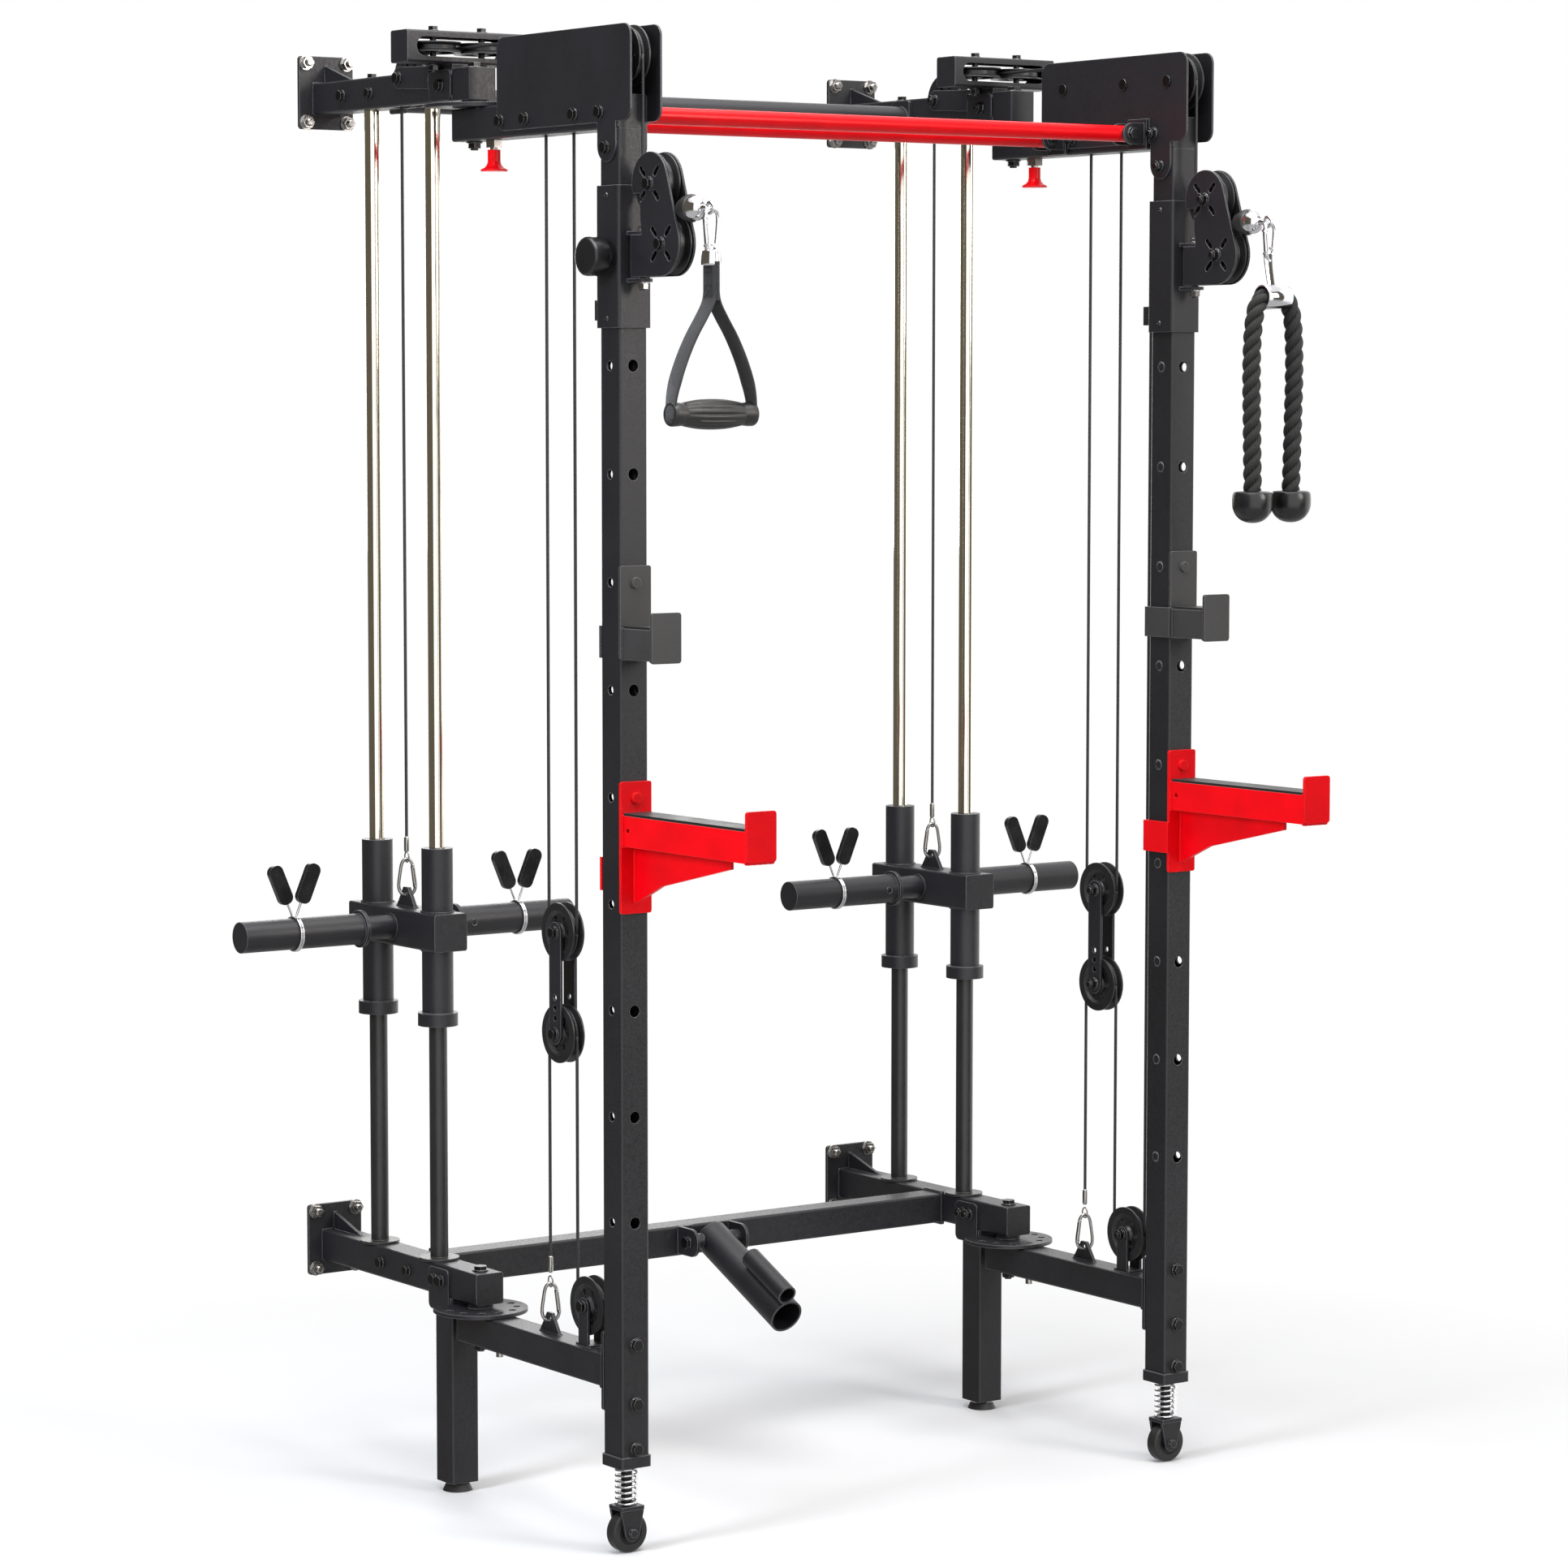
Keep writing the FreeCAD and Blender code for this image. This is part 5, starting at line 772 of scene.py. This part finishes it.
def ball_and_stop(name, x):
    """Rubber stop, polished ball and its eye at the front end of the cable."""
    y, z = -182.0, 2011.4
    spot, forward = at(x, y, z), -EY
    cup = [(6.0, -27), (11.5, -27.4), (14.5, -25), (18.6, -14), (20.2, -8), (20.4, -3), (19.2, 0.5),
           (12, 2.5), (6, 3)]
    stop = lathe(name + "_stop", cup, spot, forward, RUBBER)
    radius, steps = 19.2, 24
    sphere = []
    for i in range(steps + 1):
        t = math.radians(-78 + 156 * i / steps)
        sphere.append((radius * math.cos(t), radius * math.sin(t) + 7))
    shine = lathe(name + "_ball", sphere, spot, forward, CHROME, 56)
    throat = [(3.0, 24), (5.4, 26), (5.6, 30), (4.2, 33), (3.4, 36)]
    neck = lathe(name + "_neck", throat, spot, forward, CHROME, 24)
    eye = tube(name + "_eye", ellipse(x, y - 42, z - 1, "yz", 8.5, 7.5), 0.0026, CHROME, closed=True)
    return [stop, shine, neck, eye]


def webbing_strap(x, y, width):
    """The two legs of the strap, and the sleeve that holds them together under the bell."""
    section = strap_section(width, 0.0030)
    line = [(2.0, 1932), (2.2, 1905), (2.6, 1888), (6.5, 1873), (18, 1853), (34, 1828), (48.5, 1800),
            (60, 1772), (67.5, 1747), (70.6, 1728), (71.6, 1714), (70, 1706.2), (65, 1702.8), (57, 1702.3)]
    legs = bmesh.new()
    for s in (-1, 1):
        path = curve_through([at(x + s * dx, y, z) for dx, z in line])
        widths = [0.92 + 0.36 * min(1, max(0, (point.z - 1.716) / 0.045)) for point in path]
        sweep(legs, path, section, up=EY, scale=widths)
    sleeve = bmesh.new()
    path = curve_through([at(x, y, z) for z in (1934, 1922, 1906, 1890, 1878)], 6)
    sweep(sleeve, path, strap_section(width * 1.32, 0.0112, 6), up=EY)
    return [new_piece("left_strap", legs, WEBBING), new_piece("left_strap_sleeve", sleeve, WEBBING)]


def sewn_seams(x, y):
    """Stitches on both faces of the sleeve: a crossed box, and two rows above it."""
    half, low, high, face, pitch = 9.5, 1880, 1900, 0.0057, 0.0031
    rows = [((-half, low), (half, low)), ((-half, high), (half, high)), ((-half, low), (half, high)),
            ((half, low), (-half, high)), ((-half, low), (-half, high)), ((half, low), (half, high)),
            ((-half, 1924), (half, 1924)), ((-half, 1918), (half, 1918))]
    mesh = bmesh.new()
    for s in (-1, 1):
        for (y0, z0), (y1, z1) in rows:
            a, b = at(x, y + y0, z0), at(x, y + y1, z1)
            a.x += face * s
            b.x += face * s
            count = max(2, int((b - a).length / pitch))
            for i in range(count):
                start, end = a.lerp(b, i / count), a.lerp(b, (i + 0.72) / count)
                sweep(mesh, [start, start.lerp(end, 0.5) + EX * (0.0003 * s), end], circle(0.00038, 6))
    return new_piece("left_stitches", mesh, THREAD)


def barrel_grip(x, y):
    """A hollow grip, ribbed along its swollen middle."""
    outer = [(14.2, -73), (16.6, -72.6), (17.6, -70), (17.4, -62), (16.6, -54), (16.4, -50)]
    swell = []
    steps = 24
    for i in range(steps + 1):
        u = -50 + 100 * i / steps
        rise = math.cos(math.pi * u / 104) ** 0.8
        swell.append((16.4 + 4.6 * rise, u, min(1.0, rise * 1.25)))
    profile = [p + (0.0,) for p in outer] + swell + [(r, -h, 0.0) for r, h in reversed(outer)]
    wall = [(r / 1000 - 0.0011 * share, h / 1000, share) for r, h, share in profile]
    bore = [(0.0132, 0.073, 0.0), (0.0128, 0.070, 0.0), (0.0128, -0.070, 0.0), (0.0132, -0.073, 0.0)]
    mesh = bmesh.new()
    lathe_into(mesh, wall + bore, at(x, y, 1715), EX, 96, hollow=True, ribs=14, depth=0.0022)
    grip = new_piece("left_grip", mesh, GRIP)
    crease_by_angle(grip, 50)
    return grip


def stirrup_handle():
    """Chrome hook and bell, webbing strap with sewn seams, and a ribbed barrel grip."""
    x, y = -SIDE_X, -228.0
    parts = ball_and_stop("left_end", x)
    parts += snap_hook("left_hook", at(x, y, 2010), 0.066, 0.030, 0.0031, HOOK_FACE)
    bell = [(9.5, 11), (13.2, 9), (14.6, 2), (15.2, -6), (15.2, -10.5), (14.2, -12)]
    parts.append(lathe("left_bell", bell, at(x, y, 1940), EZ, CHROME, 40))
    parts.append(tube("left_bell_ring", ellipse(x, y, 1951, "xz", 8.5, 8.0), 0.0026, CHROME, closed=True))
    parts += webbing_strap(x, y, 0.0255)
    parts += [sewn_seams(x, y), barrel_grip(x, y)]
    handle = join("left_stirrup_handle", parts)
    fit(handle, "left_cable_handle", "webbing")
    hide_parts("left_handle")


def twisted_rope(name, path, offset, radius, pitch):
    """Three fat strands laid round a path."""
    mesh = bmesh.new()
    frames = frames_along(path, side=EY)
    for k in range(3):
        strand_path = []
        for point, (a, b), distance in zip(path, frames, distances(path)):
            angle = 2 * math.pi * (k / 3 + distance / pitch)
            strand_path.append(point + (a * math.cos(angle) + b * math.sin(angle)) * offset)
        sweep(mesh, strand_path, circle(radius, 16))
    return new_piece(name, mesh, ROPE)


def rope_handle():
    """Chrome strap and saddle tube with a three-strand rope and two moulded end stops."""
    x, y, eye_y = SIDE_X, -240.0, -229
    parts = ball_and_stop("right_end", x)
    parts += snap_hook("right_hook", at(x, eye_y, 2010), 0.060, 0.028, 0.0031, HOOK_FACE)
    hanger = bmesh.new()
    strap_path = [at(x, eye_y, 1962), at(x, -231, 1945), at(x, -235, 1925), at(x, -239, 1908)]
    sweep(hanger, curve_through(strap_path, 6), strap_section(0.023, 0.0032), up=EX)
    parts.append(new_piece("right_hanger", hanger, CHROME))
    eye = ellipse(x, eye_y, 1963, "xz", 7, 7, 32)
    parts.append(tube("right_hanger_eye", eye, 0.0022, CHROME, closed=True))
    mesh = bmesh.new()
    wall = [(0.0186, -0.025), (0.0192, -0.0243), (0.0192, 0.0243), (0.0186, 0.025), (0.0170, 0.025),
            (0.0170, -0.025)]
    lathe_into(mesh, wall, at(x, y, 1893), EX, 56, hollow=True)
    saddle = new_piece("right_saddle", mesh, CHROME)
    crease_by_angle(saddle, 50)
    parts.append(saddle)
    half = [(39.5, 1588), (41, 1640), (42.5, 1700), (44, 1760), (43.5, 1815), (40, 1855), (34, 1878),
            (23, 1891)]
    line = [(-dx, z) for dx, z in half] + [(0, 1894)] + half[::-1]
    path = resample(curve_through([at(x + dx, y, z) for dx, z in line]), 0.0028)
    parts.append(twisted_rope("right_rope_strands", path, 0.0077, 0.0070, 0.064))
    stop = [(13.2, 22), (15.4, 21.5), (26, 20.8), (29.6, 19), (31.4, 15), (32, 8)]
    steps = 15
    for k in range(1, steps):
        t = math.radians(90 * k / steps)
        stop.append((32 * math.cos(t) ** 0.9, 2 - 31 * math.sin(t)))
    for i, s in enumerate((-1, 1)):
        parts.append(lathe(f"right_rope_stop_{i}", stop, at(x + s * half[0][0], y, 1570), EZ, KNOB, 56))
    handle = join("right_rope_handle", parts)
    fit(handle, "right_cable_handle", "rope")
    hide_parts("right_rope")


def pull_knobs():
    """Black plastic knobs on the trolleys, with their pins."""
    profile = [(13.4, 8.6), (21, 8.6), (26.2, 9.2), (28.2, 10.6), (28.9, 13), (28.9, 33), (28.3, 36.2),
               (26.8, 38.2), (24.6, 39.1), (22.5, 39.3), (12, 39.2), (3, 39.2)]
    shank = [(5.8, -4.4), (6, -4), (6, 8.8), (5.8, 9)]
    for side, sign in SIDES:
        spot = at(sign * (SIDE_X + SLEEVE_HALF), 0, KNOB_Z)
        knob = lathe(f"{side}_knob", profile, spot, EX * sign, KNOB, 96)
        pin = lathe(f"{side}_knob_pin", shank, spot, EX * sign, STEEL, 32)
        piece = join(f"{side}_index_knob", [knob, pin])
        fit(piece, f"{side}_index_knob", "black_plastic")
        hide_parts(f"{side}_trolley_pin")


# ------------------------------------------------------------------ welds, screws and small parts
def weld_into(mesh, points, radius=0.0021, closed=False):
    """A rippled weld bead along a path."""
    corners = points + ([points[0]] if closed else [])
    path = resample(corners, 0.0011)
    if closed:
        path.pop()
    ripple = [1 + 0.17 * math.sin(i * 2.3) + 0.06 * math.sin(i * 0.71) for i in range(len(path))]
    sweep(mesh, path, circle(radius, 8), closed, scale=ripple)


def square(centre, a, b, half_a, half_b):
    """The corners of a rectangle from two directions and its half sides in millimetres."""
    corners = ((1, 1), (-1, 1), (-1, -1), (1, -1))
    return [centre + a * (half_a / 1000 * u) + b * (half_b / 1000 * v) for u, v in corners]


def build_welds():
    """Beads where tubes, plates and tabs meet."""
    tube_side = TUBE_HALF + 0.2
    plate_y, web_top, tab_foot, cart_top = -30.6, 1074.3, 300.4, 923.9
    wall_y, wall_top_z, wall_base_z = 871.6, 2221, 340
    wall = bmesh.new()
    for side, sign in SIDES:
        x = sign * SIDE_X
        hook, spotter, arm, cart = (bmesh.new() for _ in range(4))
        for mesh, arm_z, nose_y in ((hook, HOOK_Z, -106.2), (spotter, SPOTTER_Z, -348)):
            for y in (plate_y, nose_y):
                weld_into(mesh, square(at(x, y, arm_z), EX, EZ, 24.3, 23.3), closed=True)
        for dx in (-3.4, 3.4):
            weld_into(spotter, [at(x + dx, -31, 989), at(x + dx, -31, 1074)], 0.0026)
            weld_into(spotter, [at(x + dx, -34, web_top), at(x + dx, -277, web_top)], 0.002)
        weld_into(arm, square(at(x, 31.3, 275), EX, EZ, tube_side, tube_side), closed=True)
        for dx in (-2.8, 2.8):
            weld_into(arm, [at(x + dx, 184, tab_foot), at(x + dx, 237, tab_foot)], 0.0018)
        for y in (540, 726):
            for z in (923.7, 863.3):
                weld_into(cart, ellipse(x, y, z, "xy", 25.4, 25.4, 60), 0.002, closed=True)
        for dx in (-30.4, 30.4):
            weld_into(cart, ellipse(x + dx, ROD_Y, PEG_Z, "yz", 20, 20, 48), 0.002, closed=True)
        for dx in (-3.2, 3.2):
            weld_into(cart, [at(x + dx, ROD_Y - 27, cart_top), at(x + dx, ROD_Y + 27, cart_top)], 0.0018)
        for z in (wall_top_z, wall_base_z):
            weld_into(wall, square(at(x, wall_y, z), EX, EZ, tube_side, tube_side), 0.0023, closed=True)
        weld_into(wall, square(at(sign * 499.6, 589, wall_base_z), EY, EZ, 25.1, 25.1), closed=True)
        for name, mesh, body, material, slot in (
                ("hook", hook, "hook", GREY_COAT, "black_powder"),
                ("spotter", spotter, "spotter", RED, "red_gloss"),
                ("arm", arm, "arm", BLACK, "black_powder"),
                ("carriage", cart, "weight_carriage", BLACK, "black_powder")):
            fit(new_piece(f"{side}_{name}_welds", mesh, material), f"{side}_{body}", slot)
    fit(new_piece("wall_frame_welds", wall, BLACK), "wall_frame", "black_powder")


def socket_screw(name, spot, out, radius):
    """A low round screw head with a socket sunk into it."""
    mesh = bmesh.new()
    profile = [(radius * 1.15, -0.0004), (radius * 1.15, 0.0003), (radius, 0.0005), (radius, 0.0016),
               (radius * 0.86, 0.0024), (radius * 0.5, 0.0026)]
    lathe_into(mesh, profile, spot, out, 32)
    cap = max(mesh.faces, key=lambda f: (f.calc_center_median() - spot).dot(out))
    bmesh.ops.inset_individual(mesh, faces=[cap], thickness=radius * 0.06)
    bmesh.ops.translate(mesh, verts=cap.verts[:], vec=out * -0.0016)
    piece = new_piece(name, mesh, BOLT)
    crease_by_angle(piece, 30)
    return piece


def small_parts():
    """The trolleys' screws, and a press button in the front of each carriage's inner peg."""
    dome = [(6.5, -2), (6.5, 0.8), (5.6, 1.6), (5.2, 1.7), (5.0, 0.9), (2, 1.2)]
    screw_r = 0.0034
    for side, sign in SIDES:
        x = sign * SIDE_X
        screws = []
        for i, z in enumerate((2036, 1855.6)):
            for k in (1, -1):
                spot = at(x + sign * SLEEVE_HALF * k, 0, z)
                screws.append(socket_screw(f"{side}_screw_{i}_{k}", spot, EX * (sign * k), screw_r))
        fit(join(f"{side}_trolley_screws", screws), f"{side}_trolley", "bolt_steel")
        button = lathe(f"{side}_peg_button", dome, at(x - sign * 111, ROD_Y - 24.3, PEG_Z), -EY, BOLT, 32)
        fit(button, f"{side}_weight_carriage", "bolt_steel")


def wall_studs():
    """The threaded ends of the wall's studs inside the open nuts."""
    ends = []
    pitch, nut_y = 1.75, 855.5
    corners = ((-38, -48), (38, -48), (38, 48), (-38, 48))
    thread = [(4.4, 0.0), (5.6, 1.0)]
    for turn in range(11):
        thread += [(5.95, 1.6 + pitch * turn), (5.35, 2.4 + pitch * turn)]
    for side, sign in SIDES:
        for level, z in (("top", 2231), ("base", 350)):
            for i, (dx, dz) in enumerate(corners):
                spot = at(sign * SIDE_X + dx, nut_y, z + dz)
                ends.append(lathe(f"stud_{side}_{level}_{i}", thread, spot, EY, STEEL, 24))
    fit(join("wall_stud_ends", ends), "wall_frame", "zinc")


def face_blanks():
    """Thin blanks over the index holes on the uprights' inner faces, which the photo shows plain."""
    rim = [(6.9, -1.8), (6.9, 0.0), (8.7, 0.0), (8.6, 0.06), (1.0, 0.06)]
    for side, sign in SIDES:
        blanks = []
        for i in range(HOLE_COUNT):
            spot = at(sign * (SIDE_X - TUBE_HALF), 0, HOLE_LOW + HOLE_PITCH * i)
            blanks.append(lathe(f"{side}_blank_{i}", rim, spot, EX * -sign, BLACK, 32))
        fit(join(f"{side}_inner_face_blanks", blanks), f"{side}_arm", "black_powder")


# ------------------------------------------------------------------ stage
def area_light(name, place, target, size, power, colour=(1, 1, 1)):
    data = bpy.data.lights.new(name, "AREA")
    data.shape = "RECTANGLE"
    data.size, data.size_y = size
    data.energy = power
    data.color = colour
    lamp = bpy.data.objects.new(name, data)
    lamp.location = place
    lamp.rotation_euler = (Vector(target) - Vector(place)).to_track_quat("-Z", "Y").to_euler()
    bpy.context.scene.collection.objects.link(lamp)
    return lamp


class Surround(Nodes):
    """The same writer for a world."""

    def __init__(self, name):
        self.world = bpy.data.worlds.new(name)
        self.world.use_nodes = True
        self.tree = self.world.node_tree
        self.tree.nodes.clear()


def surround():
    """White behind the object, even grey as fill, and bright panels and dark flags for reflections."""
    n = Surround("studio")
    n = Surround("studio")
    split = n.add("ShaderNodeSeparateXYZ")
    n.link(n.add("ShaderNodeTexCoord").outputs["Generated"], split.inputs[0])
    x, y, z = (split.outputs[axis] for axis in "XYZ")
    sine, cosine = 0.565, 0.825  # of the camera's heading from +Y
    away = n.math("ADD", n.math("MULTIPLY", x, sine), n.math("MULTIPLY", y, cosine))
    toward = n.math("MULTIPLY", away, -1.0)
    across = n.math("ADD", n.math("MULTIPLY", x, cosine), n.math("MULTIPLY", y, -sine))
    turn = n.math("ARCTAN2", across, toward)
    edges = ((-0.42, -0.36), (0.80, 0.86), (1.46, 1.52))
    left, mid, right = (n.span(turn, low, high) for low, high in edges)
    panels = n.math("ADD", n.math("SUBTRACT", left, mid), right, clamp=True)
    level = n.mix(panels, (0.135, 0.12, 0.095), (1.6, 1.6, 1.6))
    ground = n.mix(n.span(z, -0.25, -0.5), level, (0.62, 0.62, 0.62))
    room = n.mix(n.span(z, 0.62, 0.75), ground, (1.2, 1.2, 1.2))
    rays = n.add("ShaderNodeLightPath")
    shade = n.mix(rays.outputs["Is Glossy Ray"], (0.25, 0.26, 0.28), room)
    shade = n.mix(rays.outputs["Is Camera Ray"], shade, (1, 1, 1))
    back = n.add("ShaderNodeBackground")
    n.link(shade, back.inputs["Color"])
    n.link(back.outputs["Background"], n.add("ShaderNodeOutputWorld").inputs["Surface"])
    return n.world


def build_stage():
    """A floor that fades into the white surround, two softboxes in front, one behind and a broad overhead
    light. The floor and the left softbox don't show in reflections."""
    n = Nodes("studio_floor")
    coords = n.add("ShaderNodeTexCoord").outputs["Object"]
    grain = n.noise(coords, 3.0, 2.0, 0.5)
    reach = n.add("ShaderNodeVectorMath", operation="LENGTH")
    n.link(coords, reach.inputs[0])
    seen = n.add("ShaderNodeLightPath").outputs["Is Camera Ray"]
    near = n.mix(grain, (0.68, 0.68, 0.68), (0.72, 0.72, 0.72))
    bounce = n.mix(n.span(reach.outputs["Value"], 1.6, 4.0), near, (0.10, 0.10, 0.11))
    n.finish(n.mix(seen, bounce, near), 0.7, Specular_IOR_Level=0.1)
    glow = n.add("ShaderNodeEmission", Color=(1, 1, 1, 1), Strength=1.0)
    fade = n.add("ShaderNodeMixShader")
    n.link(n.math("MULTIPLY", seen, n.span(reach.outputs["Value"], 0.8, 1.9)), fade.inputs[0])
    n.link(n.skin.outputs["BSDF"], fade.inputs[1])
    n.link(glow.outputs["Emission"], fade.inputs[2])
    n.link(fade.outputs["Shader"], n.out.inputs["Surface"])
    mesh = bmesh.new()
    bmesh.ops.create_grid(mesh, x_segments=1, y_segments=1, size=40.0)
    floor = new_piece("floor", mesh, n.material, smooth=False)
    floor.visible_glossy = False
    bpy.context.scene.world = surround()
    bpy.context.scene.view_settings.view_transform = "Standard"
    area_light("overhead", (-0.4, -1.0, 4.9), (0, 0, 0), (3.6, 3.6), 250)
    area_light("front_right", (2.1, -4.5, 3.1), (0, 0, 1.7), (1.3, 2.4), 105, (1.0, 0.95, 0.90))
    left = area_light("left", (-4.7, -0.7, 3.0), (0, 0, 1.9), (1.2, 2.2), 210, (0.90, 0.93, 1.0))
    left.visible_glossy = False
    area_light("back", (1.6, 4.6, 2.4), (0, 0, 1.3), (2.6, 2.2), 70)


def build_camera():
    data = bpy.data.cameras.new("camera")
    data.sensor_width = 36.0
    data.lens = 107.30
    data.shift_x, data.shift_y = 0.0611, 0.0080
    data.clip_end = 100
    camera = bpy.data.objects.new("camera", data)
    forward = Vector((0.56249, 0.82227, -0.08643)).normalized()
    right = Vector((0.82529, -0.56470, -0.00135)).normalized()
    up = right.cross(forward).normalized()
    turn = Matrix((right, up, -forward)).transposed()
    camera.matrix_world = Matrix.Translation(at(-4373.04, -5784.98, 1748.29)) @ turn.to_4x4()
    bpy.context.scene.collection.objects.link(camera)
    bpy.context.scene.camera = camera


dress_cad()
build_cables()
cable_hardware()
build_springs()
stirrup_handle()
rope_handle()
pull_knobs()
build_welds()
small_parts()
wall_studs()
face_blanks()
build_stage()
build_camera()

bpy.context.view_layer.update()
